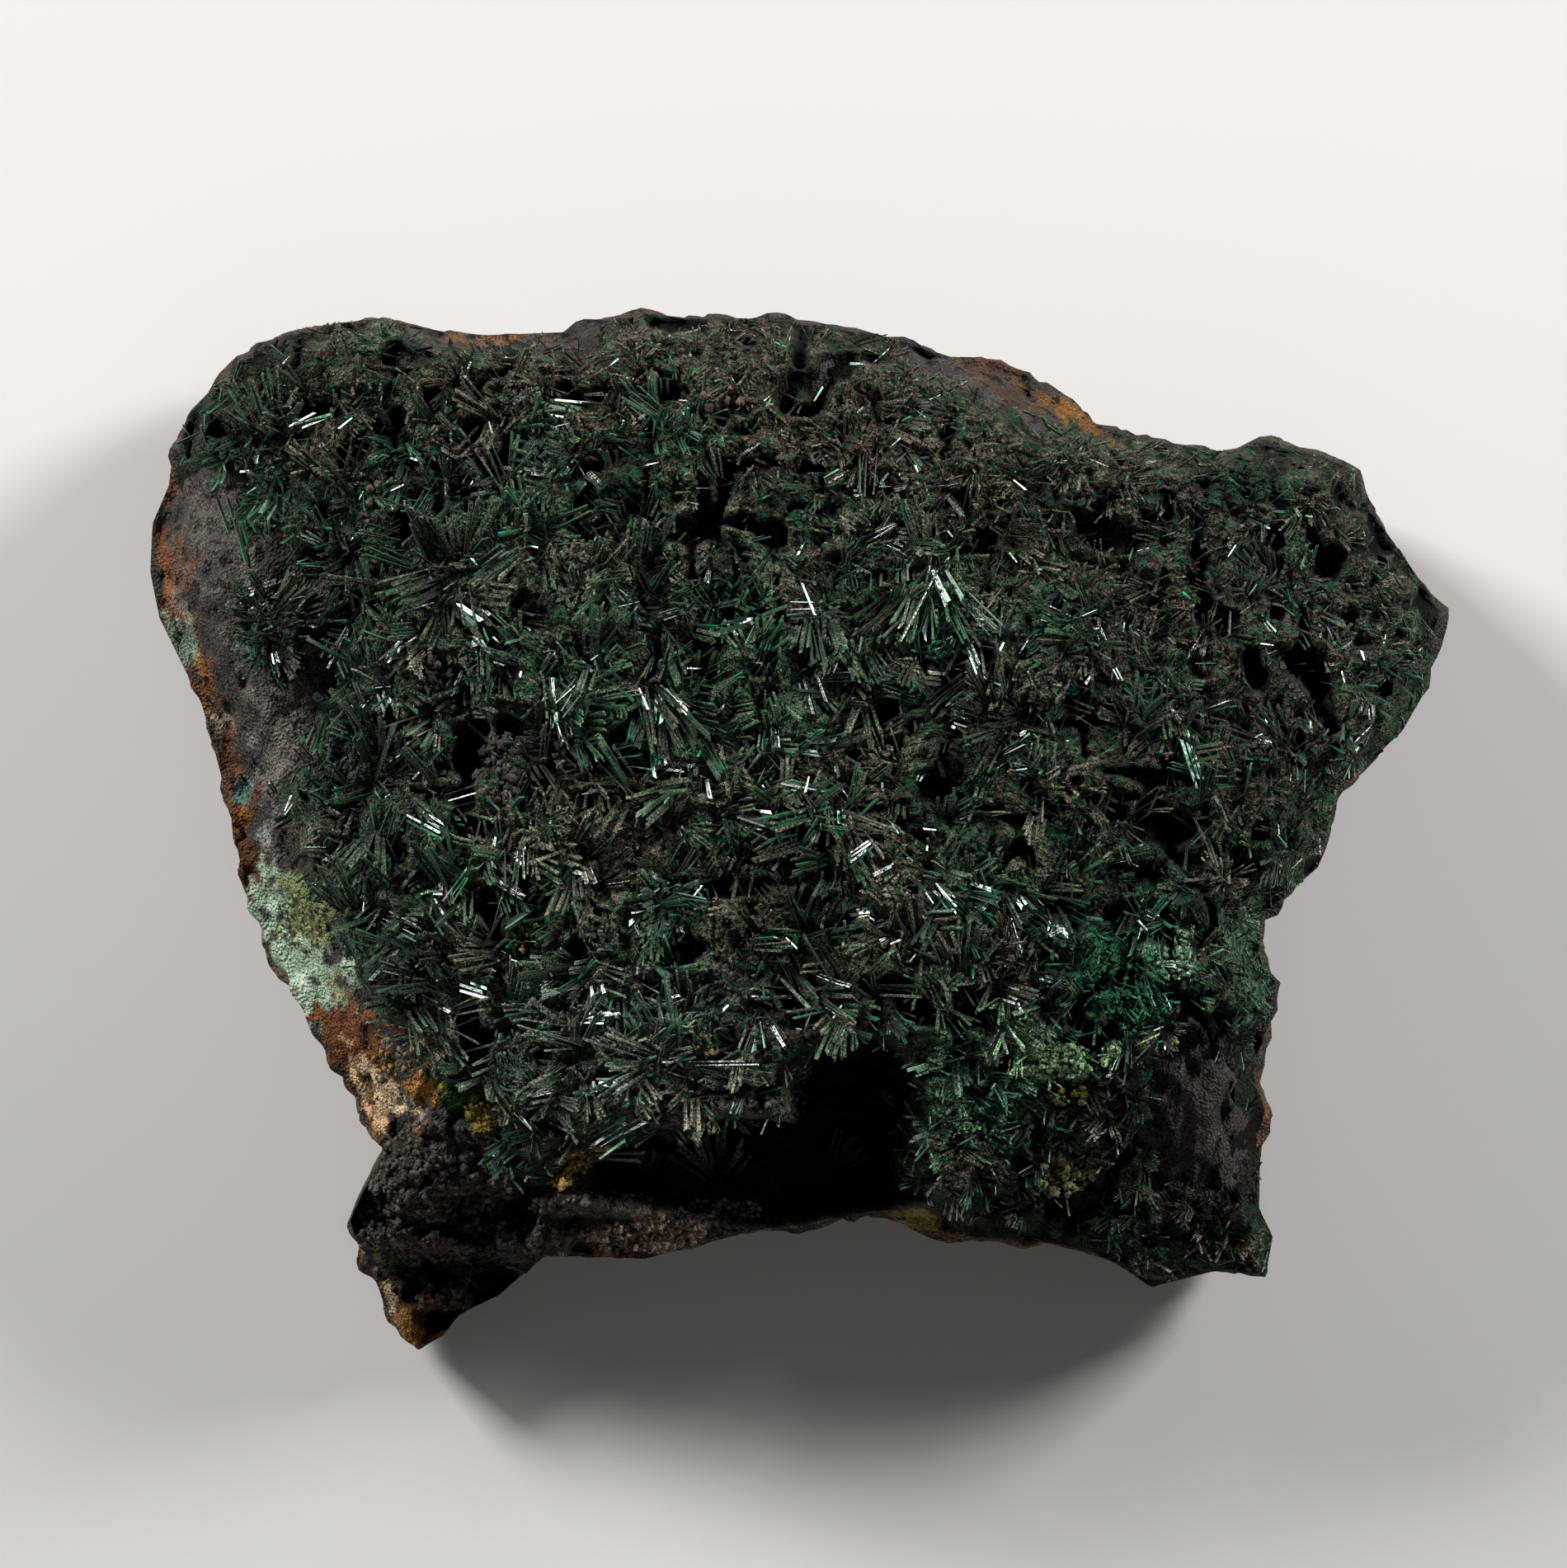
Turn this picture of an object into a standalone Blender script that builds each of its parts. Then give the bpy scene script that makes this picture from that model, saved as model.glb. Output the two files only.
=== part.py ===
"""Atacamite specimen: a slab of iron-stained rock, sawn flat behind, its face carpeted with crystal sprays.

Metres, +Z up. The slab lies on its sawn back. The origin is on that back, under the middle of the slab.
+X runs along the slab and +Y across it, towards its long straight edge. The sizes below are in millimetres
and are scaled once, by MM.
"""

import math

import bmesh
import bpy
import numpy as np
from mathutils import Matrix, Vector
from mathutils.bvhtree import BVHTree

MM = 0.001

# Driving dimensions of the slab, whose face is highest in the middle and falls towards its sides
FACE_HEIGHT = 19.5
FACE_FALL_X = 4.5
FACE_FALL_Y = 2.5
HALF_LENGTH = 40.0
HALF_WIDTH = 32.0
MIDDLE = (-1.0, 4.0)
GRID_STEPS = 24

# Unevenness of the face: (height, size of its cells, seed)
FACE_WAVES = ((0.9, 13.0, 1), (0.6, 5.5, 2))

# Slopes at the lower edge: (fall, y where it starts, y where it ends, x where it starts, x where it ends)
LOWER_SLOPES = (
    (6.5, -9.0, -27.0, 2.0, 12.0), (5.5, -15.0, -26.0, -13.0, -18.0), (4.5, -24.6, -27.0, -15.0, -17.0),
)

# Swellings and dips of the face: (height, x, y, half length, half width)
BARE_TROUGH = (-2.2, -29.5, 9.0, 3.2, 8.0)
UPPER_SHELF = (-2.6, 13.5, 27.0, 6.0, 2.6)
BARE_KNOB = (2.2, 24.0, -17.5, 3.4, 5.2)

# The hollow under the carpet's lip: two joined ovals (x, y, half length, half width), the shares of them
# where its wall starts and ends, and its floor
HOLLOW_OVALS = ((-3.0, -20.6, 11.5, 3.6), (3.4, -16.4, 4.0, 4.6))
HOLLOW_WALL = (0.74, 1.1)
HOLLOW_FLOOR = 8.0

# The ledge in front of the hollow: its height, the y values where it starts and ends, and its two ends
LEDGE_HEIGHT = 11.0
LEDGE_FRONT = (-22.2, -23.6)
LEDGE_LEFT = (-17.0, -13.0)
LEDGE_RIGHT = (7.0, 12.0)

# The slab's outline, seen from above: counter-clockwise from the right-hand tip
OUTLINE = (
    (39.2, 13.6), (36.0, 18.1), (34.4, 20.5), (34.0, 22.1), (31.7, 23.1), (27.7, 23.9), (26.2, 23.2),
    (20.0, 24.1), (18.2, 24.8), (13.7, 28.0), (11.2, 29.0), (9.2, 29.0), (4.5, 30.4), (-2.0, 31.3),
    (-6.5, 31.3), (-9.7, 31.7), (-14.5, 30.5), (-20.5, 30.3), (-25.5, 31.4), (-28.5, 31.1), (-31.5, 30.4),
    (-34.2, 29.0), (-37.1, 25.5), (-38.3, 23.1), (-39.3, 19.0), (-39.3, 16.0), (-38.7, 13.2), (-36.0, 8.0),
    (-34.6, 1.5), (-33.5, -4.2), (-29.5, -12.0), (-25.4, -19.2), (-27.5, -23.7), (-27.1, -25.2),
    (-25.0, -29.5), (-24.7, -31.0), (-23.5, -31.9), (-22.0, -31.0), (-21.0, -29.7), (-18.5, -28.5),
    (-15.5, -25.7), (-9.5, -26.0), (-2.5, -24.2), (4.5, -23.2), (9.5, -24.5), (16.0, -25.1), (20.0, -26.5),
    (21.5, -27.8), (26.0, -26.7), (28.6, -27.2), (29.0, -24.7), (28.1, -23.0), (28.5, -17.0), (27.6, -14.7),
    (28.8, -10.5), (28.9, -9.0), (28.1, -8.0), (27.9, -5.2), (31.6, -2.0), (32.6, 2.5), (36.7, 6.2),
    (38.2, 8.7), (38.5, 11.0),
)

# The edge rounds off by EDGE_FALL over EDGE_REACH, wider on the bare left-hand side, less on the low foot
EDGE_FALL = 5.0
EDGE_REACH = 1.8
LEFT_EDGE_FALL = 8.0
LEFT_EDGE_REACH = 3.6
LEFT_SIDE_X = (-22.0, -28.0)
LEFT_SIDE_Y = (24.0, 21.0)
LOW_EDGE_Y = (-20.0, -23.5)
LOW_EDGE_SHARE = 0.75

# Below the outline the broken side runs in to the sawn back: (share of the edge's height, inset)
SIDE_RINGS = ((0.62, 0.1), (0.26, 1.5), (0.0, 3.6))
SIDE_ROUGHNESS = 0.7
SIDE_CELL = 4.0

# The carpet of crystals: its border where it stops short of the slab's edge, and its thickness
CARPET_BORDER = (
    (-40.0, 22.6), (-34.0, 21.8), (-31.5, 18.5), (-28.5, 16.0), (-27.5, 12.5), (-28.0, 8.0), (-29.3, 4.5),
    (-31.5, 1.5), (-32.0, -2.0), (-29.7, -4.5), (-28.0, -8.0), (-26.5, -11.0), (-24.0, -13.8), (-20.0, -15.0),
    (-19.5, -20.5), (-16.0, -21.4), (-12.8, -18.6), (-7.0, -17.2), (-2.0, -16.2), (0.5, -12.6), (8.0, -11.6),
    (6.5, -15.0), (6.5, -21.5), (12.0, -24.2), (21.0, -26.8), (30.0, -27.5), (42.0, -8.0), (42.0, 24.0),
    (20.0, 25.0), (17.5, 23.6), (7.5, 27.8), (3.0, 33.0), (-11.0, 33.0), (-13.0, 29.2), (-23.0, 29.2),
    (-25.0, 33.0), (-40.0, 33.0),
)
CARPET_THICKNESS = 1.8
CARPET_LUMPS = 1.4
LUMP_CELL = 3.4
CRUST_GAP = 0.3

# At its border a crust thins to this share, except at the lips (x, y, half length, half width)
BORDER_SHARE = 0.4
LIPS = ((-3.0, -16.4, 5.5, 1.4), (4.5, -11.6, 4.0, 1.2))
LIP_OVERHANG = 1.3
HOLLOW_RIM = 0.5

# Dark pits between the sprays, where the carpet is thin: x, y, half length, half width
CARPET_PITS = (
    (-30.0, 27.7, 1.7, 1.4), (-27.0, 22.5, 1.6, 3.0), (-18.0, 22.0, 1.8, 1.6), (-24.5, 18.0, 1.6, 1.4),
    (-26.8, 11.5, 1.3, 3.6), (-19.7, 3.8, 1.6, 5.0), (-17.5, 9.6, 1.8, 1.3), (31.5, 16.5, 1.4, 2.2),
    (27.0, 9.8, 1.6, 2.8), (23.0, -0.5, 1.8, 1.5), (17.0, 8.0, 2.4, 1.5), (21.5, 5.0, 1.6, 1.6),
    (20.0, 12.6, 1.6, 1.5), (-12.0, -4.8, 1.6, 1.5), (-9.5, -10.7, 1.8, 1.4), (-18.6, -5.0, 1.3, 2.6),
    (7.5, -10.4, 1.8, 1.4), (4.0, 9.0, 1.8, 1.6), (-3.0, 1.6, 1.8, 1.6), (13.0, 20.8, 2.2, 1.4),
)
PIT_DEPTH = 0.8

# The crust on the hollow's floor and the lone spray on the bare side: (x, y, half length, half width)
HOLLOW_CRUST = (-2.5, -20.8, 9.0, 2.0)
HOLLOW_CRUST_THICKNESS = 1.0
LONE_SPRAY = (-31.0, 12.9, 3.4, 3.2)
LONE_SPRAY_THICKNESS = 1.2
SMALL_LUMPS = 0.4

# Main sprays: centre x, y, reach of its crystals, first and last compass angle, number of crystals
CARPET_SPRAYS = (
    (-21.2, 14.7, 5.2, 0, 330, 11), (-25.2, 3.2, 5.0, -35, 150, 9), (-25.0, 0.5, 3.8, 190, 330, 4),
    (-32.0, 23.5, 4.0, 20, 150, 5), (-28.8, 25.0, 3.4, 0, 180, 4), (-27.5, 20.8, 3.6, 20, 110, 4),
    (-33.5, 27.0, 3.0, 0, 300, 4), (-23.0, 22.5, 3.6, 40, 250, 5), (-18.0, 24.5, 4.0, 20, 160, 5),
    (-14.5, 26.0, 3.4, 0, 300, 3), (-10.0, 15.2, 3.8, 0, 300, 5), (-15.5, 18.0, 3.6, 30, 330, 5),
    (-8.5, 9.3, 4.2, 0, 320, 7), (-6.2, 6.2, 3.8, 200, 340, 5), (-13.5, 5.0, 4.0, 10, 330, 6),
    (-4.5, 12.5, 3.6, 0, 330, 5), (-20.5, 7.5, 3.2, 190, 350, 4), (-17.0, -1.5, 3.6, 30, 330, 5),
    (-20.0, -4.0, 4.2, 40, 130, 5), (-25.5, -5.5, 3.8, -20, 160, 5), (-20.0, -9.0, 3.8, -30, 200, 5),
    (-12.0, -3.0, 3.6, 0, 300, 5), (-10.8, -8.6, 3.6, 0, 330, 5), (-6.5, -3.5, 3.8, 40, 250, 5),
    (-14.0, -14.5, 5.0, 10, 80, 5), (-8.0, -13.6, 4.6, -20, 200, 7), (-13.5, -18.5, 4.2, 20, 200, 5),
    (-1.5, -7.5, 4.0, 0, 300, 5), (2.0, 2.0, 4.0, 0, 300, 5), (0.5, 13.5, 3.6, 280, 330, 3),
    (8.0, 15.5, 5.4, 205, 340, 8), (4.5, 24.5, 4.2, 100, 250, 5), (-1.0, 25.5, 3.4, 0, 300, 3),
    (13.5, 16.0, 3.8, 200, 340, 4), (17.0, 11.5, 4.6, 130, 260, 5), (12.0, 6.5, 3.8, 0, 300, 5),
    (9.2, -4.0, 3.8, 0, 300, 6), (3.8, -3.0, 3.8, 20, 120, 5), (15.5, -4.0, 3.6, 0, 300, 4),
    (25.2, -0.6, 6.0, 70, 150, 7), (21.5, 8.5, 4.2, 110, 330, 5), (29.5, 4.5, 3.8, 30, 200, 4),
    (29.0, 14.5, 3.6, 0, 300, 4), (34.0, 13.0, 3.2, 0, 300, 4), (28.0, 20.0, 3.4, 0, 200, 4),
    (20.5, 18.5, 3.4, 0, 300, 4), (33.0, 8.5, 3.4, 0, 330, 4), (22.5, -7.0, 3.2, 0, 300, 4),
    (13.5, -14.5, 3.2, 0, 300, 4), (10.5, -17.4, 3.2, -60, 60, 4), (14.5, -21.0, 3.0, 0, 300, 4),
    (22.5, -24.5, 2.8, 0, 330, 4),
)
HOLLOW_SPRAYS = (
    (-5.0, -21.2, 2.6, 20, 160, 4), (2.0, -21.0, 2.6, 30, 150, 4), (-9.0, -21.2, 2.2, 20, 160, 3),
)
LONE_SPRAYS = ((-31.0, 12.8, 3.6, 0, 330, 9),)

# A crystal is a flattened four-sided prism that rises at these angles from the slab's plane
CRYSTAL_WIDTH_SHARE = 0.19
CRYSTAL_FLATNESS = 0.62
CRYSTAL_TAPER = 0.72
CRYSTAL_ROOT = 0.75
ROOT_SHARE = 0.5
CRYSTAL_RISE = (22.0, 58.0)
LENGTH_SPREAD = (0.8, 1.1)
WIDTH_SPREAD = (0.85, 1.15)
COMPASS_SPREAD = 0.3

ROCK_BROWN = (0.085, 0.060, 0.042)
ATACAMITE_GREEN = (0.022, 0.070, 0.048)

DOWN = Vector((0.0, 0.0, -1.0))


def smooth_step(low, high, value):
    """0 below low, 1 above high, and a smooth S between them."""
    share = np.clip((value - low) / (high - low), 0.0, 1.0)
    return share * share * (3.0 - 2.0 * share)


def lattice_noise(x, y, cell, seed):
    """Smooth noise from -1 to 1: hashed values at the corners of square cells, blended across each cell."""
    column, row = np.floor(x / cell), np.floor(y / cell)
    across, up = smooth_step(0.0, 1.0, x / cell - column), smooth_step(0.0, 1.0, y / cell - row)

    def corner(right, above):
        i, j = column.astype(np.int64) + right, row.astype(np.int64) + above
        mixed = (i * 374761393 + j * 668265263 + seed * 2246822519) & 0xFFFFFFFF
        mixed = ((mixed ^ (mixed >> 13)) * 1274126177) & 0xFFFFFFFF
        return (mixed ^ (mixed >> 16)) / 0x7FFFFFFF - 1.0

    below = corner(0, 0) * (1 - across) + corner(1, 0) * across
    over = corner(0, 1) * (1 - across) + corner(1, 1) * across
    return below * (1 - up) + over * up


def mound(x, y, centre_x, centre_y, half_length, half_width):
    """A round-topped mound, 1 at its centre and about 0 past its half length and half width times 1.5."""
    return np.exp(-(((x - centre_x) / half_length) ** 2) - ((y - centre_y) / half_width) ** 2)


def inside_ellipse(x, y, ellipse):
    centre_x, centre_y, half_length, half_width = ellipse
    return ((x - centre_x) / half_length) ** 2 + ((y - centre_y) / half_width) ** 2 < 1.0


def inside_border(x, y, border):
    """Whether each point lies within a closed border: a line to its right crosses an odd number of sides."""
    crossings = np.zeros(np.shape(x), int)
    for (x0, y0), (x1, y1) in zip(border, border[1:] + border[:1]):
        if y0 == y1:
            continue
        spans = (y0 > y) != (y1 > y)
        crossings += spans & (x < x0 + (y - y0) * (x1 - x0) / (y1 - y0))
    return crossings % 2 == 1


def hollow_share(x, y):
    """1 in the hollow under the carpet's lip, 0 outside it."""
    ovals = [np.hypot((x - at_x) / length, (y - at_y) / width) for at_x, at_y, length, width in HOLLOW_OVALS]
    return 1.0 - smooth_step(*HOLLOW_WALL, np.minimum(*ovals))


def slab_height(x, y):
    """Height of the rock's broad face over the sawn back, before its edges round off."""
    height = FACE_HEIGHT - FACE_FALL_X * (x / HALF_LENGTH) ** 2 - FACE_FALL_Y * (y / HALF_WIDTH) ** 2
    for wave, cell, seed in FACE_WAVES:
        height = height + wave * lattice_noise(x, y, cell, seed)
    for fall, y_start, y_end, x_start, x_end in LOWER_SLOPES:
        height -= fall * smooth_step(y_start, y_end, y) * smooth_step(x_start, x_end, x)
    for rise, *place in (BARE_TROUGH, UPPER_SHELF, BARE_KNOB):
        height += rise * mound(x, y, *place)
    ledge = smooth_step(*LEDGE_FRONT, y) * smooth_step(*LEDGE_LEFT, x) * (1 - smooth_step(*LEDGE_RIGHT, x))
    height = height * (1 - ledge) + LEDGE_HEIGHT * ledge
    hollow = hollow_share(x, y)
    return height * (1 - hollow) + HOLLOW_FLOOR * hollow


def outline_point(share):
    """Point of the outline at each share of its length, and whether it counts as the bare left-hand side."""
    corners = np.array(OUTLINE + OUTLINE[:1])
    along = np.concatenate([[0.0], np.cumsum(np.hypot(*np.diff(corners, axis=0).T))])
    wanted = np.mod(share, 1.0) * along[-1]
    x, y = np.interp(wanted, along, corners[:, 0]), np.interp(wanted, along, corners[:, 1])
    left_side = smooth_step(*LEFT_SIDE_X, x) * smooth_step(*LEFT_SIDE_Y, y)
    return x, y, left_side


def ring_share(u, v):
    """How far out a point of the square -1 to 1 lies, 0 to 1, and its share of the way round."""
    out = np.maximum(np.maximum(np.abs(u), np.abs(v)), 1e-9)
    around = np.where(v >= out, 0.25 - u / out / 8, 0.75 + u / out / 8)
    around = np.where(np.abs(u) >= out, np.where(u > 0, v / out / 8, 0.5 - v / out / 8), around)
    return out, np.mod(around, 1.0)


def face_points(u, v):
    """The rock's broad face over the square -1 to 1, on rays from the middle to the outline."""
    out, around = ring_share(u, v)
    rim_x, rim_y, left_side = outline_point(around)
    x = MIDDLE[0] + out * (rim_x - MIDDLE[0])
    y = MIDDLE[1] + out * (rim_y - MIDDLE[1])
    inward = (1 - out) * np.hypot(rim_x - MIDDLE[0], rim_y - MIDDLE[1])
    fall = EDGE_FALL + (LEFT_EDGE_FALL - EDGE_FALL) * left_side
    reach = EDGE_REACH + (LEFT_EDGE_REACH - EDGE_REACH) * left_side
    low_edge = 1 - LOW_EDGE_SHARE * smooth_step(*LOW_EDGE_Y, y)
    return x, y, slab_height(x, y) - fall * low_edge * np.exp(-((inward / reach) ** 2)), around


def grid_on_face():
    """A bmesh grid laid on the rock's broad face, each vertex keeping its share of the way round."""
    grid = bmesh.new()
    around_layer = grid.verts.layers.float.new("around")
    bmesh.ops.create_grid(grid, x_segments=GRID_STEPS, y_segments=GRID_STEPS, size=1.0)
    flat = np.array([vertex.co[:2] for vertex in grid.verts])
    x, y, z, around = face_points(flat[:, 0], flat[:, 1])
    for vertex, *place, share in zip(grid.verts, x, y, z, around):
        vertex.co = place
        vertex[around_layer] = share
    return grid, around_layer


def finished(mesh_name, shape, colour, roughness):
    """The bmesh as a named object in metres, with its finish."""
    bmesh.ops.recalc_face_normals(shape, faces=shape.faces)
    bmesh.ops.scale(shape, vec=(MM, MM, MM), verts=shape.verts)
    mesh = bpy.data.meshes.new(mesh_name)
    shape.to_mesh(mesh)
    shape.free()
    finish = bpy.data.materials.new(mesh_name)
    finish.use_nodes = True
    surface = finish.node_tree.nodes["Principled BSDF"]
    surface.inputs["Base Color"].default_value = (*colour, 1.0)
    surface.inputs["Roughness"].default_value = roughness
    mesh.materials.append(finish)
    return bpy.data.objects.new(mesh_name, mesh)


def make_matrix(collection):
    """The rock: its broad face, broken sides that run in below the outline, and the flat sawn back."""
    rock, around_layer = grid_on_face()
    edge = [side for side in rock.edges if side.is_boundary]
    edge_height = {round(end[around_layer], 6): end.co.z for side in edge for end in side.verts}
    for ring, (height_share, inset) in enumerate(SIDE_RINGS):
        made = bmesh.ops.extrude_edge_only(rock, edges=edge)["geom"]
        edge = [item for item in made if isinstance(item, bmesh.types.BMEdge)]
        for vertex in [item for item in made if isinstance(item, bmesh.types.BMVert)]:
            share = vertex[around_layer]
            rim_x, rim_y, _ = outline_point(share)
            outward = Vector((rim_x - MIDDLE[0], rim_y - MIDDLE[1]))
            rough = SIDE_ROUGHNESS * float(lattice_noise(rim_x, rim_y, SIDE_CELL, 10 + ring))
            place = Vector(MIDDLE) + outward * (1 - (inset + rough) / outward.length)
            vertex.co = (place.x, place.y, height_share * edge_height[round(share, 6)])
        edge = [side for side in edge if side.is_boundary]
    bmesh.ops.holes_fill(rock, edges=edge, sides=0)
    collection.objects.link(finished("matrix", rock, ROCK_BROWN, 0.85))


def is_pinch(vertex, kept):
    """Whether just two of the kept faces meet at this vertex, and only by their corners."""
    faces = [face for face in vertex.link_faces if face in kept]
    return len(faces) == 2 and not set(faces[0].edges) & set(faces[1].edges)


def crust_sheet(covers, thickness, lumps):
    """A crust over the faces that covers(face) picks: its underside follows the rock, its top is lumpy."""
    sheet, _ = grid_on_face()
    kept = set()
    for face in sheet.faces:
        if covers(face):
            kept.add(face)
    while pinches := [vertex for vertex in sheet.verts if is_pinch(vertex, kept)]:
        for vertex in pinches:
            kept.update(vertex.link_faces)
    dropped = [face for face in sheet.faces if face not in kept]
    bmesh.ops.delete(sheet, geom=dropped, context="FACES")
    bmesh.ops.translate(sheet, vec=(0, 0, CRUST_GAP), verts=sheet.verts)
    border = {(vertex.co.x, vertex.co.y) for vertex in sheet.verts if vertex.is_boundary}
    made = bmesh.ops.extrude_face_region(sheet, geom=sheet.faces[:])["geom"]
    for vertex in [item for item in made if isinstance(item, bmesh.types.BMVert)]:
        x, y = np.array(vertex.co.x), np.array(vertex.co.y)
        lip = max(mound(x, y, *place) for place in LIPS)
        pit = max(mound(x, y, *place) for place in CARPET_PITS)
        share = max(BORDER_SHARE, lip) if (vertex.co.x, vertex.co.y) in border else 1.0
        lump = 0.5 + 0.5 * lattice_noise(x, y, LUMP_CELL, 30)
        vertex.co.z += (thickness + lumps * lump) * share * (1 - PIT_DEPTH * pit)
        vertex.co.y -= LIP_OVERHANG * lip
    return sheet


def add_crystal(shape, root, compass, rise, length, width):
    """A four-sided, slightly tapered prism with a flat end, growing from root."""
    along = Vector((math.cos(rise) * math.cos(compass), math.cos(rise) * math.sin(compass), math.sin(rise)))
    turn = along.to_track_quat("Z", "Y").to_matrix().to_4x4()
    place = Matrix.Translation(Vector(root) + along * length / 2) @ turn
    flatten = Matrix.Diagonal((1.0, CRYSTAL_FLATNESS, 1.0, 1.0))
    half = width / math.sqrt(2)
    bmesh.ops.create_cone(
        shape, cap_ends=True, segments=4, radius1=half, radius2=half * CRYSTAL_TAPER, depth=length,
        matrix=place @ flatten @ Matrix.Rotation(math.radians(45), 4, "Z"),
    )


def add_sprays(name, sprays, crust, cutters, seed):
    """One helper object for each crystal of the sprays, rooted inside the crust that it is joined to."""
    random = np.random.default_rng(seed)
    for x, y, reach, first, last, count in sprays:
        for number in range(count):
            turned = (number + COMPASS_SPREAD * random.uniform(-1, 1)) / max(1, count - 1)
            compass = math.radians(first + (last - first) * turned)
            rise = math.radians(random.uniform(*CRYSTAL_RISE))
            length = reach * random.uniform(*LENGTH_SPREAD)
            width = reach * CRYSTAL_WIDTH_SHARE * random.uniform(*WIDTH_SPREAD)
            out = CRYSTAL_ROOT * random.uniform(0.3, 1.0)
            spot = Vector((x + out * math.cos(compass), y + out * math.sin(compass), 0.0))
            top, *_ = crust.ray_cast(spot - DOWN * 2 * FACE_HEIGHT, DOWN)
            underside, *_ = crust.ray_cast(spot, -DOWN)
            if top is None:
                continue
            crystal = bmesh.new()
            add_crystal(crystal, top.lerp(underside, ROOT_SHARE), compass, rise, length, width)
            helper = finished(f"{name}_crystal", crystal, ATACAMITE_GREEN, 0.4)
            helper.hide_render = True
            helper.display_type = "WIRE"
            cutters.objects.link(helper)


def make_crust(collection, name, covers, thickness, lumps, sprays, seed):
    """A crust with its crystals grown out of it, all one solid."""
    sheet = crust_sheet(covers, thickness, lumps)
    crystals = bpy.data.collections.new(f"{name}_crystals")
    bpy.context.scene.collection.children.link(crystals)
    add_sprays(name, sprays, BVHTree.FromBMesh(sheet), crystals, seed)
    crust = finished(name, sheet, ATACAMITE_GREEN, 0.45)
    collection.objects.link(crust)
    join = crust.modifiers.new("crystals", "BOOLEAN")
    join.operation = "UNION"
    join.operand_type = "COLLECTION"
    join.collection = crystals
    join.solver = "EXACT"


def in_carpet(face):
    """Inside the carpet's border, off the bare knob, and with no corner down in the hollow."""
    x, y, _ = face.calc_center_median()
    corners = np.array([corner.co[:2] for corner in face.verts])
    bare = inside_ellipse(x, y, BARE_KNOB[1:]) or hollow_share(*corners.T).max() > HOLLOW_RIM
    return bool(inside_border(x, y, CARPET_BORDER)) and not bare


def in_hollow(face):
    x, y, _ = face.calc_center_median()
    return inside_ellipse(x, y, HOLLOW_CRUST)


def in_lone_spray(face):
    x, y, _ = face.calc_center_median()
    return inside_ellipse(x, y, LONE_SPRAY)


for left_over in list(bpy.data.objects):
    bpy.data.objects.remove(left_over)
specimen = bpy.data.collections.new("atacamite_specimen")
bpy.context.scene.collection.children.link(specimen)
make_matrix(specimen)
make_crust(specimen, "crystal_carpet", in_carpet, CARPET_THICKNESS, CARPET_LUMPS, CARPET_SPRAYS, 4)
make_crust(specimen, "hollow_crystals", in_hollow, HOLLOW_CRUST_THICKNESS, SMALL_LUMPS, HOLLOW_SPRAYS, 5)
make_crust(specimen, "lone_spray", in_lone_spray, LONE_SPRAY_THICKNESS, SMALL_LUMPS, LONE_SPRAYS, 6)
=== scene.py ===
import bpy
import numpy as np
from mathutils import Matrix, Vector


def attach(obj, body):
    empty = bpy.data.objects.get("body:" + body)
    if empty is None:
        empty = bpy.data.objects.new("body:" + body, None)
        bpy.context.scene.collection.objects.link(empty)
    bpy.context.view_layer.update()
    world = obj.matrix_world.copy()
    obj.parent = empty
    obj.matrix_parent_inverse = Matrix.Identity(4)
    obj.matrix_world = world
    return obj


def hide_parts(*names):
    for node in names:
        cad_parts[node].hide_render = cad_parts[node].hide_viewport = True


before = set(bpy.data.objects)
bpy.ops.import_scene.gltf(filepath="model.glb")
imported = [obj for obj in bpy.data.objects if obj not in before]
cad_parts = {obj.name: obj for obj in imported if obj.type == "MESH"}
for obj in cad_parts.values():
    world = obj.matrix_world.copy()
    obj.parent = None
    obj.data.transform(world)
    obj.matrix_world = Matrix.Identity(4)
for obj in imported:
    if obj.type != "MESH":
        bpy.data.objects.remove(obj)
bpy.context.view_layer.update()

MM = 0.001

# The rock
#
# A slab of dark iron-stained rock, sawn flat behind and broken round its sides. Its face is bare at the left,
# on the foot at the lower left, on the ledge before the hollow and on a purple-grey knob at the lower right.
# Rust, ochre and turquoise are colour on it. Sizes are in millimetres, in the frame of the solid.

FACE_HEIGHT, FACE_FALL_X, FACE_FALL_Y = 19.5, 4.5, 2.5
HALF_LENGTH, HALF_WIDTH = 40.0, 32.0
MIDDLE = (-1.0, 4.0)
# Waves of the face: height, cell, seed
FACE_WAVES = ((0.9, 13.0, 1), (0.6, 5.5, 2))
# Slopes down to the lower edge: fall, y at the top and the foot of the slope, x where it starts and is full
LOWER_SLOPES = (
    (6.5, -9.0, -27.0, 2.0, 12.0), (5.5, -15.0, -26.0, -13.0, -18.0), (4.5, -24.6, -27.0, -15.0, -17.0),
)
# Troughs and mounds of the face: rise, x, y, half length, half width
BARE_TROUGH = (-2.2, -29.5, 9.0, 3.2, 8.0)
UPPER_SHELF = (-2.6, 13.5, 27.0, 6.0, 2.6)
BARE_KNOB = (2.2, 24.0, -17.5, 3.4, 5.2)
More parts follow.
